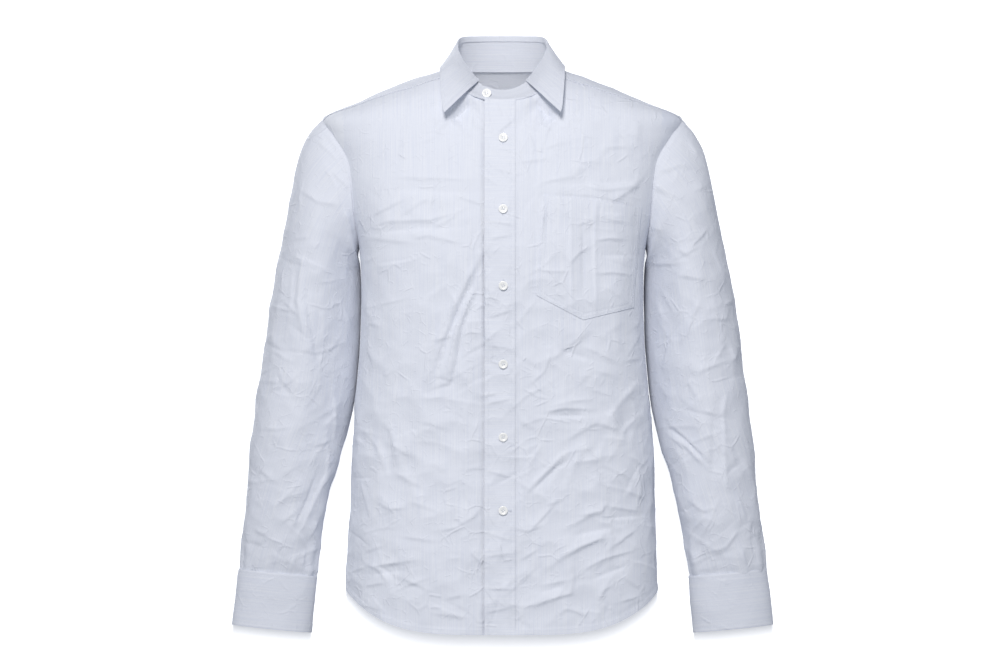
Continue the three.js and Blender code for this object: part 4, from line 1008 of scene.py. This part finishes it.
# down the arm, then the outer edge's x and z, the inner edge's x and z, the depth, how far ahead
SLEEVE = np.array([
    (0, 223, -58, 179.5, -222, 112, 0),
    (24, 238, -78, 181, -231, 118, 0),
    (54, 252.5, -107, 178.8, -240, 122, 1),
    (90, 262, -145, 178.0, -250, 123, 2),
    (125, 269, -183, 177.4, -263, 122, 3),
    (165, 277, -226, 177.2, -281, 120, 4),
    (208, 286, -272, 177.6, -306, 118, 5),
    (250, 292.5, -314, 178.6, -338, 115, 6),
    (295, 299, -360, 181.8, -378, 111, 8),
    (345, 305.5, -410, 188, -424, 106, 10),
    (395, 311.5, -460, 201, -473, 100, 13),
    (445, 316.5, -510, 215, -523, 91, 16),
    (500, 322, -565, 225.5, -577, 76, 19),
    (554, 326.8, -619, 232.8, -628, 53, 22),
], float)
ARM_BLEND, SLEEVE_INSET, SET_BACK, PLEATS = 110, 1, 27, 11
SLEEVE_RING, SLEEVE_RINGS, SLEEVE_LONG = 184, 280, 557
STRIP_ROWS, STRIP_COLUMNS, STRIP_ARM = 65, 21, 30  # its grid, and millimetres to a radian


def oval_point(table, angle, down):
    """Ovals between the outer and the inner edge: angle 0 outside, a quarter turn at the front."""
    angle, down = np.broadcast_arrays(np.asarray(angle, float), np.asarray(down, float))
    far = np.stack([along(table, 1, down), np.zeros_like(down), along(table, 2, down)], -1)
    near = np.stack([along(table, 3, down), np.zeros_like(down), along(table, 4, down)], -1)
    at = (far + near) / 2 + (far - near) / 2 * np.cos(angle)[..., None]
    at[..., 1] = -along(table, 6, down) - along(table, 5, down) / 2 * np.sin(angle)
    return at


def sleeve_point(angle, down):
    """The table's ovals, their inner sides set back beside the body; near the shoulder they turn
    into the armhole's own outline."""
    at = oval_point(SLEEVE, angle, down)
    beside_body = smooth(down, 20, 110) * (1 - smooth(down, 330, 470))
    at[..., 1] += SET_BACK * beside_body * smooth(-np.cos(angle), -0.3, 1)
    own = 1 - smooth(np.asarray(down, float), 0, ARM_BLEND)
    degrees = (np.degrees(np.asarray(angle, float)) + 180) % 360 - 180
    turn, z = armhole(degrees, SLEEVE_INSET)
    rim = body_point(turn, z) + np.array([SEAM, 0, 0])
    return at + (rim - oval_point(SLEEVE, angle, 0)) * (own * np.ones_like(degrees))[..., None]


def sleeve_cloth(angle, down, sign, lift=0.0):
    """Sleeve cloth: its form and creases; it is set in flush with the body's cloth at the armhole,
    calm where it hangs beside the body, and gathered by small pleats above the cuff."""
    out = normal_of(sleeve_point, angle, np.maximum(down, 0.4), 0.01, 0.4)
    at = sleeve_point(angle, down)
    turn, z = armhole(np.degrees(angle))
    body = normal_of(body_point, turn, z, 0.002, 0.2) * np.ones_like(out)
    agree = smooth((out * body).sum(-1), 0, 0.5) * (1 - smooth(down, 0, 6))
    out = out + (body - out) * agree[..., None]
    out = out / np.linalg.norm(out, axis=-1, keepdims=True)
    flip = np.array([sign, 1, 1])
    at, out = at * flip, out * flip
    inner = smooth(np.cos(angle), -1, -0.55)
    calm = smooth(down, 0, 16) * (1 - (1 - inner) * 0.85 * smooth(-down, -420, -330))
    crest = smooth(down, 500, 552)
    pleats = 1.1 * np.sin(angle * PLEATS + 1.7 * np.sin(angle * 2)) * smooth(down, 490, 545)
    pleats = pleats * (1 - 0.4 * crest)
    crown = 1.5 * np.exp(-((down - 26) / 22) ** 2) * smooth(down, 0, 16)
    crown = crown * smooth(np.cos(angle), -0.1, 0.8)
    ease = crown + 0.8 * np.exp(-((down - 5) / 4) ** 2) * smooth(down, 0, 3) * inner
    under_cuff = -0.7 * smooth(down, 546, 553)
    return at + out * (calm * creases(at, out) + pleats + ease + under_cuff + lift)[..., None], out


CUFF = np.array([
    (0, 328, -619.8, 231.8, -628.9, 55, 22),
    (35, 332.5, -654.5, 234.6, -664, 53, 22.5),
    (70, 337, -689.3, 237.6, -699.2, 50, 23),
], float)
CUFF_LAP, CUFF_STEP, CUFF_START, CUFF_HIGH = 26, 30, 250, 70  # degrees, and its height
CUFF_DEGREE, CUFF_STITCH, END_SETTLE = 0.66, 5, 2.1
sleeve_ring = np.linspace(0, 2 * math.pi, SLEEVE_RING + 1)[None, :]
sleeve_down = np.linspace(0, SLEEVE_LONG, SLEEVE_RINGS)[:, None]
tuck = np.array([8.0, 5.5, 3.5, 1.5, 0.3])[:, None]
for side, sign in (("left", 1), ("right", -1)):
    angle = sleeve_ring[:, :-1] * np.ones_like(sleeve_down)
    at, out = sleeve_cloth(angle, sleeve_down * np.ones_like(angle), sign)
    under_turn, under_z = armhole((np.degrees(sleeve_ring[:, :-1]) + 180) % 360 - 180, -tuck)
    under_out = normal_of(body_point, under_turn, under_z, 0.002, 0.2)
    under_at = body_point(under_turn, under_z) - under_out * 1.2
    flip = np.array([sign, 1, 1])
    at = np.concatenate([under_at * flip, at])
    out = np.concatenate([under_out * flip, out])
    form = sleeve_point(sleeve_ring * np.ones_like(sleeve_down), sleeve_down * np.ones_like(sleeve_ring))
    round_it = along_rows(form)
    round_it = np.concatenate([np.repeat(round_it[:1], len(tuck), 0), round_it])
    down = np.concatenate([-tuck, sleeve_down])
    round_it = round_it - round_it[:, -1:] / 2
    piece = cloth_piece(f"sleeve_{side}", at, out, round_it, down, CLOTH, body_poplin, ring=True)
    sewn(piece)

    # The strip that faces the slit above the cuff, behind the sleeve's outer edge.
    strip_angle = np.radians(np.linspace(271, 305, STRIP_COLUMNS))[None, :] * np.ones((STRIP_ROWS, 1))
    strip_down = np.linspace(430, 553, STRIP_ROWS)[:, None] * np.ones((1, STRIP_COLUMNS))
    strip_count = np.arange(STRIP_COLUMNS)
    strip_edge = np.minimum(strip_count, strip_count[::-1])[None, :] * 1.0
    strip_lift = 1.0 + 0.3 * smooth(strip_edge, 0, 1.5) - dip(strip_edge, 3, 0.3, 0.8)
    at, out = sleeve_cloth(strip_angle, strip_down, sign, strip_lift)
    strip_u = strip_angle * STRIP_ARM
    piece = cloth_piece(f"sleeve_placket_{side}", at, out, strip_u, strip_down, 0.7, body_poplin)
    sewn(piece)


# ---- Cuffs ----
# Stiffened bands of two layers, cut across the stripe, that go once round and lap over at the back
# under their button, with a row of stitches inside each edge.

def cuff_cloth(degrees, down, sign, lift=0.0):
    """The band: ovals of the cuff's table, its first end settled below its last."""
    own = smooth(degrees, CUFF_LAP + 2, CUFF_LAP + 2 + CUFF_STEP)
    angle = np.radians(CUFF_START + degrees)

    def surface(a, d):
        return oval_point(CUFF, a, d)

    out = normal_of(surface, angle, np.clip(down, 1, CUFF_HIGH - 1), 0.01, 0.5)
    flip = np.array([sign, 1, 1])
    at = surface(angle, down) * flip
    out = out * flip
    wobble = 0.35 * crumple(at) + 0.25 * np.sin(at @ WAVES[:3].T * 2.2).sum(-1)
    return at + out * (wobble * (0.3 + 0.7 * own) - END_SETTLE * (1 - own) + lift)[..., None], out


stiff_poplin = poplin("stiffened poplin", 0.5, 0.78)
cuff_lines = []
cuff_edge_v = np.linspace(0, CUFF_HIGH, 49)[:, None]
cuff_degrees = np.linspace(0, 360 + CUFF_LAP, 193)[None, :]
for side, sign in (("left", 1), ("right", -1)):
    d = cuff_degrees * np.ones_like(cuff_edge_v)
    w = cuff_edge_v * np.ones_like(cuff_degrees)
    inset = np.minimum(np.minimum(w, CUFF_HIGH - w), (360 + CUFF_LAP - d) * CUFF_DEGREE)
    lift = 0.4 * smooth(inset, 0, 1.6) - dip(inset, CUFF_STITCH, 0.35, 0.8) - 0.2
    at, out = cuff_cloth(d, w, sign, lift)
    piece = cloth_piece(f"cuff_{side}", at, out, w, d * CUFF_DEGREE, 1.4, stiff_poplin)
    cuff_lines += [
        inset_line(at, out, CUFF_STITCH, lift=0.08),
        inset_line(at, out, CUFF_STITCH, "last", lift=0.08),
        inset_line(at[4:-4], out[4:-4], CUFF_STITCH, "last", across=True, lift=0.08),
    ]
    sewn(piece)


# ---- Collar stand ----
# A stiffened band sewn round the neckline. Its rounded left end laps over the right one at the
# front, under the collar button. The leaf is sewn into its upper edge.

# round the neckline in degrees, the upper edge's x, y, z, the leaf's free edge's x, y, z, its swell
COLLAR_HALF = np.array([
    (0, 0, -61, -25, 45, -113, -62, 0, -14),
    (6, 15, -59.5, -22.5, 58, -112, -60, 0, -14),
    (12.5, 29, -53, -15, 71.5, -107, -54.5, 0, -14),
    (21.5, 41, -41, -1, 75.5, -91, -31, 0, -10),
    (34, 50, -25, 13, 77.5, -63, -6, 0, -7),
    (58, 55.5, -7, 27, 78, -26, 5, 0, -3),
    (87, 57, 9, 35, 77.5, 12, 5.5, 0, 0),
    (115, 51, 34, 42, 66, 50, 4, 1, 3),
    (148, 29, 52.5, 44, 38, 75, 1, 1, 4),
    (180, 0, 59, 44.5, 0, 82, 0, 0, 4.5),
], float)
mirror = COLLAR_HALF[::-1] * np.array([-1, -1, 1, 1, -1, 1, 1, -1, 1])
beyond = COLLAR_HALF[-2] * np.array([1, -1, 1, 1, -1, 1, 1, -1, 1])
beyond[0] = 360 - COLLAR_HALF[-2][0]
before = COLLAR_HALF[-2].copy()
before[0] -= 360
COLLAR = np.vstack([before, mirror, COLLAR_HALF[1:], beyond])
STAND_LIFT, STAND_END, STAND_THICK = -2.5, 10, 1.5
STAND_ARM, STAND_HIGH, STAND_ROWS, STAND_COLUMNS = 65, 38, 27, 251
END_ARM, END_COLUMNS, END_REACH = 63, 14, 0.995  # its rounded ends


def collar_line(turn, first):
    """A point of three columns of the collar's table."""
    degrees = np.degrees(turn)
    return np.stack([along(COLLAR, first + i, degrees) for i in range(3)], -1)


def stand_point(turn, up):
    """Straight from the neckline to the stand's upper edge."""
    turn, up = np.broadcast_arrays(np.asarray(turn, float), np.asarray(up, float))
    low = body_point(turn, neckline(turn)) + np.array([0, 0, STAND_LIFT])
    return low + (collar_line(turn, 1) - low) * up[..., None]


def stand_normal(turn, up):
    """The stand's own normal, turned to the body's at its foot."""
    own = normal_of(stand_point, turn, np.clip(up, 0.05, 0.95), 0.02, 0.04)
    body = normal_of(body_point, turn, neckline(turn), 0.002, 0.2)
    out = body + (own - body) * smooth(up, 0, 0.3)[..., None]
    return out / np.linalg.norm(out, axis=-1, keepdims=True)


def stand_cloth(turn, up, under, lift=0.0):
    """Stand cloth, its first end settled below its last by under."""
    out = stand_normal(turn, up)
    at = stand_point(turn, up)
    foot = 1.9 * (1 - smooth(up, 0, 0.45))
    soft = 0.25 * crumple(at) * smooth(up, 0, 0.3)
    return at + out * (soft - END_SETTLE * under + foot + lift)[..., None], out


left_end = float(turn_at(PLACKET_EDGE, NECK_FRONT))
right_end = float(turn_at(PLACKET_FOLD, NECK_FRONT))
end_turn = STAND_END / END_ARM
start_turns = np.linspace(right_end + end_turn * END_REACH, right_end, END_COLUMNS)[:-1]
main_turns = np.linspace(right_end, -2 * math.pi + left_end, STAND_COLUMNS)
last_turns = np.linspace(left_end, left_end - end_turn * END_REACH, END_COLUMNS)[1:]
stand_turns = np.concatenate([start_turns, main_turns, last_turns - 2 * math.pi])
wrapped = (stand_turns + math.pi) % (2 * math.pi) - math.pi
share_start = np.sqrt(np.clip(1 - ((start_turns - right_end) / end_turn) ** 2, 0, 1))
share_last = np.sqrt(np.clip(1 - ((left_end - last_turns) / end_turn) ** 2, 0, 1))
stand_share = np.concatenate([share_start, np.ones(len(main_turns)), share_last])
stand_under = 1 - smooth(-stand_turns, -0.1, 0.45)
stand_v = np.linspace(0, 1, STAND_ROWS)[:, None]
stand_up = stand_v * stand_share[None, :]
stand_inset = np.minimum(stand_v, 1 - stand_v) * 33
stand_lift = -dip(stand_inset, 4.5, 0.3, 0.9) * np.ones_like(stand_up)
stand_at, stand_out = stand_cloth(
    wrapped[None, :] * np.ones_like(stand_up), stand_up, stand_under[None, :], stand_lift
)
stand = cloth_piece(
    "collar_stand", stand_at[:, ::-1], stand_out[:, ::-1], (stand_up * STAND_HIGH)[:, ::-1],
    stand_turns[None, ::-1] * STAND_ARM, STAND_THICK, stiff_poplin,
)
sewn(
    stand,
)


# ---- Collar leaf ----
# Two stiffened layers sewn into the stand's upper edge, rolled over and folded down outside it to
# two points, stitched inside the edge.

LEAF_START, LEAF_ROLL, LEAF_THICK = 12.5, 2.2, 1.0
LEAF_COLUMN, LEAF_STITCH = 0.72, 5.5  # width of the columns at its points, its stitches' inset


def leaf_point(turn, down):
    """From above the stand's upper edge to the free edge, swelling out between."""
    turn, down = np.broadcast_arrays(np.asarray(turn, float), np.asarray(down, float))
    high = collar_line(turn, 1) + np.array([0, 0, LEAF_ROLL])
    low = collar_line(turn, 4)
    swell = np.stack([along(COLLAR, k, np.degrees(turn)) for k in (7, 8)] + [0 * turn], -1)
    rise = np.sin(math.pi * np.clip(down, 0, 1) ** 0.75)
    return high + (low - high) * down[..., None] + swell * rise[..., None]


leaf_turn = np.radians(np.concatenate([
    np.linspace(-LEAF_START, -40, 71)[:-1], np.linspace(-40, -180, 101)[:-1],
]))
leaf_turn = np.concatenate([leaf_turn, [-math.pi], (-leaf_turn)[::-1]])
leaf_down = np.concatenate([[0, 0.01, 0.03, 0.06], np.linspace(0.1, 1, 48)])[:, None]
leaf_grid_turn = leaf_turn[None, :] * np.ones_like(leaf_down)
leaf_grid_down = leaf_down * np.ones_like(leaf_turn)[None, :]
leaf_out = -normal_of(leaf_point, leaf_grid_turn, np.clip(leaf_grid_down, 0.04, 0.97), 0.02, 0.03)
leaf_at = leaf_point(leaf_grid_turn, leaf_grid_down)
leaf_long = np.linalg.norm(leaf_at[-1] - leaf_at[0], axis=-1)[None, :]
leaf_count = np.arange(len(leaf_turn))
front_in = np.minimum(leaf_count, leaf_count[::-1])[None, :] * LEAF_COLUMN
leaf_inset = np.minimum((1 - leaf_grid_down) * leaf_long, front_in)
leaf_lift = (
    0.35 * smooth(leaf_inset, 0, 1.5)
    - dip(leaf_inset, LEAF_STITCH, 0.4, 0.9)
    + 0.6 * crumple(leaf_at) * smooth(leaf_grid_down, 0.05, 0.3)
)
leaf_at = leaf_at + leaf_out * leaf_lift[..., None]
ROLL, INSIDE = 1.2, 6.0
roll_steps = np.radians(np.linspace(180, 20, 7))[:, None, None]
leaf_top, upward = leaf_at[0], np.array([0, 0, 1.0])
roll_out = leaf_out[0] * np.array([1, 1, 0])
roll_out /= np.linalg.norm(roll_out, axis=-1, keepdims=True)
roll_dir = roll_out * np.cos(roll_steps) + upward * np.sin(roll_steps)
roll_at = leaf_top - roll_out * ROLL + roll_dir * ROLL
inside_at = roll_at[:1] - upward * np.array([INSIDE, 4.0, 2.0])[:, None, None]
inside_out = np.repeat(-roll_out[None], 3, 0)
leaf_all = np.concatenate([inside_at, roll_at, leaf_at[1:]])
leaf_all_out = np.concatenate([inside_out, roll_dir, leaf_out[1:]])
before_leaf = -np.linspace(INSIDE + 4, 0, 10)[:, None] * np.ones((1, len(leaf_turn)))
leaf_v = np.concatenate([before_leaf, (leaf_grid_down * leaf_long)[1:]])
leaf_u = along_rows(leaf_at[len(leaf_at) // 2][None])
leaf = cloth_piece("collar_leaf", leaf_all, leaf_all_out, leaf_u, leaf_v, LEAF_THICK, stiff_poplin)
sewn(leaf)


# A small lamp hidden inside the shirt lights the inside of the yoke, the back and the collar alone.
inner_lamp = bpy.data.objects.new("inner_lamp", bpy.data.lights.new("inner_lamp", "POINT"))
inner_lamp.data.energy = 0.185
inner_lamp.data.shadow_soft_size = 0.03
inner_lamp.location = (0, -0.03, -0.11)
bpy.context.scene.collection.objects.link(inner_lamp)
lit_inside = bpy.data.collections.new("lit from inside")
for inside_piece in (yoke, back, stand, leaf):
    lit_inside.objects.link(inside_piece)
inner_lamp.light_linking.receiver_collection = lit_inside

# A soft box on each side fills in the fronts where they turn towards the armholes, and the buttons.
filled_in = bpy.data.collections.new("filled in")
for body_piece in (front_right, front_left, placket, pocket, yoke):
    filled_in.objects.link(body_piece)
for side in (-1, 1):
    area_light(f"fill_{side}", (2.4 * side, -2.0, 0.1), (0, 0, -0.3), 1.0, 1.0, 3.4, PLAIN, filled_in)


# ---- Stitching ----
# Rows of fine white stitches: down both sides of the placket, round the pocket, cuffs and collar,
# and along the hem and the yoke's seams.

thread_paint, thread_tree, thread_shader = new_material("sewing thread", Roughness=0.6)
thread_place = add_node(thread_tree, "ShaderNodeTexCoord")
thread_noise = add_node(
    thread_tree, "ShaderNodeTexNoise", {"Vector": thread_place.outputs["Object"]}, Scale=900
)
thread_ramp = add_node(thread_tree, "ShaderNodeValToRGB", {"Fac": thread_noise.outputs["Fac"]})
thread_ramp.color_ramp.elements[0].color = (0.66, 0.70, 0.80, 1)
thread_ramp.color_ramp.elements[1].color = (0.86, 0.88, 0.92, 1)
thread_tree.links.new(thread_ramp.outputs["Color"], thread_shader.inputs["Base Color"])


def stitches(path, out, long=2.3, gap=0.8, thick=0.22):
    """Short spindles laid end to end along a path, a gap apart, half sunk in the cloth: two rings of
    four points between two tips. Returns points and faces."""
    steps = np.linalg.norm(np.diff(path, axis=0), axis=-1)
    far = np.concatenate([[0], np.cumsum(steps)])
    starts = np.arange(0.3, far[-1] - long, long + gap)
    if len(starts) == 0:
        return np.zeros((0, 3)), []
    where = starts[:, None] + np.array([0, 0.22, 0.78, 1])[None, :] * long
    centre = np.stack([np.interp(where, far, path[:, k]) for k in range(3)], -1)
    up = np.stack([np.interp(where, far, out[:, k]) for k in range(3)], -1)
    ahead = centre[:, -1] - centre[:, 0]
    ahead /= np.linalg.norm(ahead, axis=-1, keepdims=True)
    side = np.cross(np.broadcast_to(ahead[:, None], up.shape), up)
    side /= np.linalg.norm(side, axis=-1, keepdims=True)
    middle, across, above = centre[:, 1:3, None], side[:, 1:3, None], up[:, 1:3, None]
    turn = (np.arange(4) * math.pi / 2)[None, None, :, None]
    ring = middle + thick * (np.cos(turn) * across + np.sin(turn) * above)
    points = np.concatenate([centre[:, :1], ring.reshape(len(starts), 8, 3), centre[:, 3:]], 1)
    faces = []
    for base in range(0, 10 * len(starts), 10):
        for j in range(4):
            k = (j + 1) % 4
            faces.append((base, base + 1 + k, base + 1 + j))
            faces.append((base + 1 + j, base + 1 + k, base + 5 + k, base + 5 + j))
            faces.append((base + 5 + j, base + 5 + k, base + 9))
    return points.reshape(-1, 3), faces


def stitched(name, lines):
    """One object for the stitches of several lines."""
    points, faces, count = [], [], 0
    for path, up in lines:
        p, f = stitches(path, up)
        points.append(p)
        faces += [tuple(corner + count for corner in face) for face in f]
        count += len(p)
    piece = make_mesh(name, np.concatenate(points), faces, None, thread_paint)
    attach(piece, "root")


HEM_STITCH, RIGHT_PAST, LEFT_PAST = 6, 17, 18  # inset, and first columns clear of the placket
stitched("stitching_hem", [
    inset_line(right_at[:, RIGHT_PAST:], right_out[:, RIGHT_PAST:], HEM_STITCH, lift=0.05),
    inset_line(left_at[:, LEFT_PAST:], left_out[:, LEFT_PAST:], HEM_STITCH, lift=0.05),
    inset_line(back_at, back_out, HEM_STITCH, lift=0.05),
])
stitched("stitching_placket", [
    inset_line(placket_at, placket_out, PLACKET_STITCH, end, across=True, lift=0.08)
    for end in ("first", "last")
])
stitched("stitching_cuffs", cuff_lines)
stitched("stitching_collar", [
    inset_line(leaf_at[:, 8:-8], leaf_out[:, 8:-8], LEAF_STITCH, "last", lift=0.1),
    inset_line(leaf_at[8:-3], leaf_out[8:-3], LEAF_STITCH, across=True, lift=0.1),
    inset_line(leaf_at[8:-3], leaf_out[8:-3], LEAF_STITCH, "last", across=True, lift=0.1),
    inset_line(stand_at, stand_out, 3.5, lift=0.1),
])
pocket_lines = []
for distance in POCKET_STITCHES:
    trim = int(round(distance / POCKET_WIDE * POCKET_COLUMNS))
    pocket_lines += [
        inset_line(pocket_at[trim:], pocket_out[trim:], distance, across=True, lift=0.08),
        inset_line(pocket_at[trim:], pocket_out[trim:], distance, "last", across=True, lift=0.08),
        inset_line(pocket_at[:, trim:-trim], pocket_out[:, trim:-trim], distance, lift=0.08),
    ]
pocket_lines.append(inset_line(pocket_at[:, 3:-3], pocket_out[:, 3:-3], 24, "last", lift=0.05))
stitched("stitching_pocket", pocket_lines)
yoke_end = (YOKE_HALF - YOKE_COLUMNS) * YOKE_PARTS
yoke_seam_at, yoke_seam_out = yoke_at[:, yoke_end:-yoke_end], yoke_out[:, yoke_end:-yoke_end]
stitched("stitching_yoke", [
    inset_line(yoke_seam_at, yoke_seam_out, YOKE_STITCH, "last", lift=0.05),
    inset_line(yoke_at, yoke_out, YOKE_STITCH, across=True, lift=0.05),
    inset_line(yoke_at, yoke_out, YOKE_STITCH, "last", across=True, lift=0.05),
])


# ---- Buttons ----
# Pearly white four-hole buttons with a raised rim, sewn on with white thread through their holes:
# six on the placket, one on the collar stand and one on each cuff.

BUTTON, BUTTON_LIFT, FACE, HOLE = 11.5, 0.5, 1.75, 1.15  # across, lift, face's height, holes' x and y
pearl, pearl_tree, pearl_shader = new_material(
    "pearl", Roughness=0.22, Coat_Weight=0.4, Coat_Roughness=0.1
)
pearl_place = add_node(pearl_tree, "ShaderNodeTexCoord")
pearl_noise = add_node(
    pearl_tree, "ShaderNodeTexNoise", {"Vector": pearl_place.outputs["Object"]}, Scale=160, Distortion=1.5
)
pearl_ramp = add_node(pearl_tree, "ShaderNodeValToRGB", {"Fac": pearl_noise.outputs["Fac"]})
pearl_ramp.color_ramp.elements[0].position = 0.3
pearl_ramp.color_ramp.elements[0].color = (0.86, 0.87, 0.85, 1)
pearl_ramp.color_ramp.elements[1].position = 0.7
pearl_ramp.color_ramp.elements[1].color = (0.95, 0.95, 0.93, 1)
pearl_tree.links.new(pearl_ramp.outputs["Color"], pearl_shader.inputs["Base Color"])


def button_mesh():
    """A disc turned from a profile with a raised rim and a rounded back, whose face is pressed in at
    four places round the middle. Returns points and faces, face up."""
    flat = [(radius, FACE) for radius in (0, 0.35, 0.7, 1.0, 1.3, 1.6, 1.9, 2.2)]
    profile = np.array(flat + [
        (2.5, 1.76), (2.9, 1.8), (3.3, 1.9), (3.7, 2.05), (4.2, 2.18), (4.8, 2.2), (5.3, 2.1), (5.65, 1.75),
        (BUTTON / 2, 1.3), (5.5, 0.8), (4.9, 0.35), (3.8, 0.1), (0.0, 0.0),
    ])
    angles = np.linspace(0, 2 * math.pi, 48, endpoint=False)
    radius, high = profile[1:-1, 0][:, None], profile[1:-1, 1][:, None]
    x, y = radius * np.cos(angles), radius * np.sin(angles)
    z = high * np.ones_like(x)
    top = (np.arange(len(radius)) < 13)[:, None]
    for cx, cy in ((HOLE, HOLE), (-HOLE, HOLE), (HOLE, -HOLE), (-HOLE, -HOLE)):
        z = z - np.where(top, 1 - smooth(np.hypot(x - cx, y - cy), 0.45, 0.85), 0)
    rings = np.stack([x, y, z], -1).reshape(-1, 3)
    points = np.concatenate([rings, [[0, 0, FACE], [0, 0, 0]]])
    n, count = len(angles), len(radius)
    i = np.arange(count - 1)[:, None] * n
    j = np.arange(n)[None, :]
    k = (j + 1) % n
    quads = np.stack([i + j, i + n + j, i + n + k, i + k], -1).reshape(-1, 4)
    j, k = j[0], k[0]
    top_fan = np.stack([np.full(n, n * count), j, k], -1)
    last = (count - 1) * n
    low_fan = np.stack([np.full(n, n * count + 1), last + k, last + j], -1)
    return points, quads.tolist() + top_fan.tolist() + low_fan.tolist()


def tube_rings(line, side, up, thick, corners=5):
    """A ring of corners round each point of each line, across the line by side and up."""
    turn = (np.arange(corners) * 2 * math.pi / corners)[:, None]
    across = np.cos(turn) * side[..., None, :] + np.sin(turn) * up[..., None, :]
    return line[..., None, :] + thick * across


def thread_mesh():
    """Two bundles of three threads, each arching from hole to hole: a five-sided tube along an arch."""
    steps, corners = 9, 5
    each = steps * corners
    t = np.linspace(0, 1, steps)
    i = np.arange(steps - 1)[:, None] * corners
    j = np.arange(corners)[None, :]
    k = (j + 1) % corners
    quads = np.stack([i + j, i + k, i + corners + k, i + corners + j], -1).reshape(-1, 4)
    points, faces, ends = [], [], []
    for count, shift in enumerate((-0.28, 0.0, 0.28) * 2):
        x = shift + (-HOLE if count < 3 else HOLE)
        arch = 1.15 + np.sin(math.pi * t) ** 0.6
        line = np.stack([np.full(steps, x), -1.35 + 2.7 * t, arch], -1)
        ahead = np.gradient(line, axis=0)
        ahead /= np.linalg.norm(ahead, axis=-1, keepdims=True)
        side = np.array([1.0, 0, 0]) * np.ones_like(line)
        points.append(tube_rings(line, side, np.cross(ahead, side), 0.16).reshape(-1, 3))
        faces += (quads + count * each).tolist()
        first, last = count * each, count * each + each - corners
        ends += [[first + i for i in range(corners - 1, -1, -1)], [last + i for i in range(corners)]]
    return np.concatenate(points), faces + ends


def placed(points, at, out, twist=0.0):
    """Points turned so that their Z is along out and their X is level, then moved to a place."""
    z = out / np.linalg.norm(out)
    x = np.cross(np.array([0, 0, 1.0]), z)
    x /= np.linalg.norm(x)
    y = np.cross(z, x)
    c, s = math.cos(twist), math.sin(twist)
    return at + points @ np.stack([c * x + s * y, -s * x + c * y, z])


def sew_button(node, at, out, twist):
    """The button and its thread at a place on the cloth."""
    points, faces = button_mesh()
    seat = at + out * BUTTON_LIFT
    mesh = bpy.data.meshes.new("pearl_" + node)
    mesh.from_pydata((placed(points, seat, out, twist) * METRES).tolist(), [], faces)
    mesh.polygons.foreach_set("use_smooth", np.ones(len(mesh.polygons), bool))
    mesh.materials.append(pearl)
    piece = bpy.data.objects.new("pearl_" + node, mesh)
    bpy.context.scene.collection.objects.link(piece)
    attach(piece, "root")
    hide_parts(node)
    filled_in.objects.link(piece)
    points, faces = thread_mesh()
    thread = make_mesh(node + "_thread", placed(points, seat, out, twist), faces, None, thread_paint)
    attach(thread, "root")


def buttonhole(name, at_of, length, upright):
    """Close stitches round a slit: two rows of short threads side by side and a bar at each end, laid
    on the cloth by at_of(x, z), which gives points and normals."""
    rows = []
    along_hole = np.arange(-length / 2, length / 2, 0.42)
    for side in (-1, 1):
        a, b = side * 0.25, side * 1.25
        for t in along_hole:
            rows.append(((t, a), (t, b)))
    for end in (-length / 2 - 0.3, length / 2 + 0.1):
        for s in (-0.2, 0.2):
            rows.append(((end + s, -1.3), (end + s, 1.3)))
    ends = np.array(rows)
    x, z = (ends[..., 1], ends[..., 0]) if upright else (ends[..., 0], ends[..., 1])
    at, out = at_of(x, z)
    at = at + out * 0.12
    ahead = at[:, 1] - at[:, 0]
    ahead /= np.linalg.norm(ahead, axis=-1, keepdims=True)
    side = np.cross(ahead, out[:, 0])
    ring = tube_rings(at, side[:, None], out[:, :1], 0.2)
    base = (np.arange(len(at)) * 10)[:, None]
    j = np.arange(5)[None, :]
    k = (j + 1) % 5
    faces = np.stack([base + j, base + k, base + 5 + k, base + 5 + j], -1).reshape(-1, 4)
    caps = [[b + i for i in range(4, -1, -1)] for b in base[:, 0].tolist()]
    caps += [[b + i for i in range(5, 10)] for b in base[:, 0].tolist()]
    piece = make_mesh(name, ring.reshape(-1, 3), faces.tolist() + caps, None, thread_paint)
    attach(piece, "root")


BUTTON_X, BUTTON_SEAT, BUTTONHOLE_SEAT = 1, 1.75, 1.72
# height, and the turn it was sewn on at; the last one's buttonhole lies across
PLACKET_BUTTONS = ((-86, 0.1), (-174, -0.35), (-268, 0.5), (-364.5, 0.2), (-454.5, -0.1), (-545, 0.7))
for i, (z, twist) in enumerate(PLACKET_BUTTONS, 1):
    at, out = front_strip(np.array([BUTTON_X]), np.array([z]), BUTTON_SEAT)
    sew_button(f"button_{i}", at[0], out[0], twist)
    upright = i < len(PLACKET_BUTTONS)
    shift, length = (0, 14) if upright else (3.5, 13)

    def on_placket(x, y, z=z, shift=shift):
        return front_strip(BUTTON_X + shift + x, z + y, BUTTONHOLE_SEAT * np.ones_like(x))

    buttonhole(f"buttonhole_{i}", on_placket, length, upright)

collar_turn = np.array([float(turn_at(-22, NECK_FRONT))])
at, out = stand_cloth(collar_turn, np.array([0.4]), np.array([0.0]), 0.05)
facing = out[0] + np.array([0, -1.6, -0.25])
sew_button("collar_button", at[0] + out[0] * 2.2, facing / np.linalg.norm(facing), 0.3)
for side, sign in (("left", 1), ("right", -1)):
    at, out = cuff_cloth(np.array([360.0 + CUFF_LAP - 14]), np.array([27.0]), sign, 0.2)
    sew_button(f"cuff_button_{side}", at[0], out[0], 0.2 * sign)
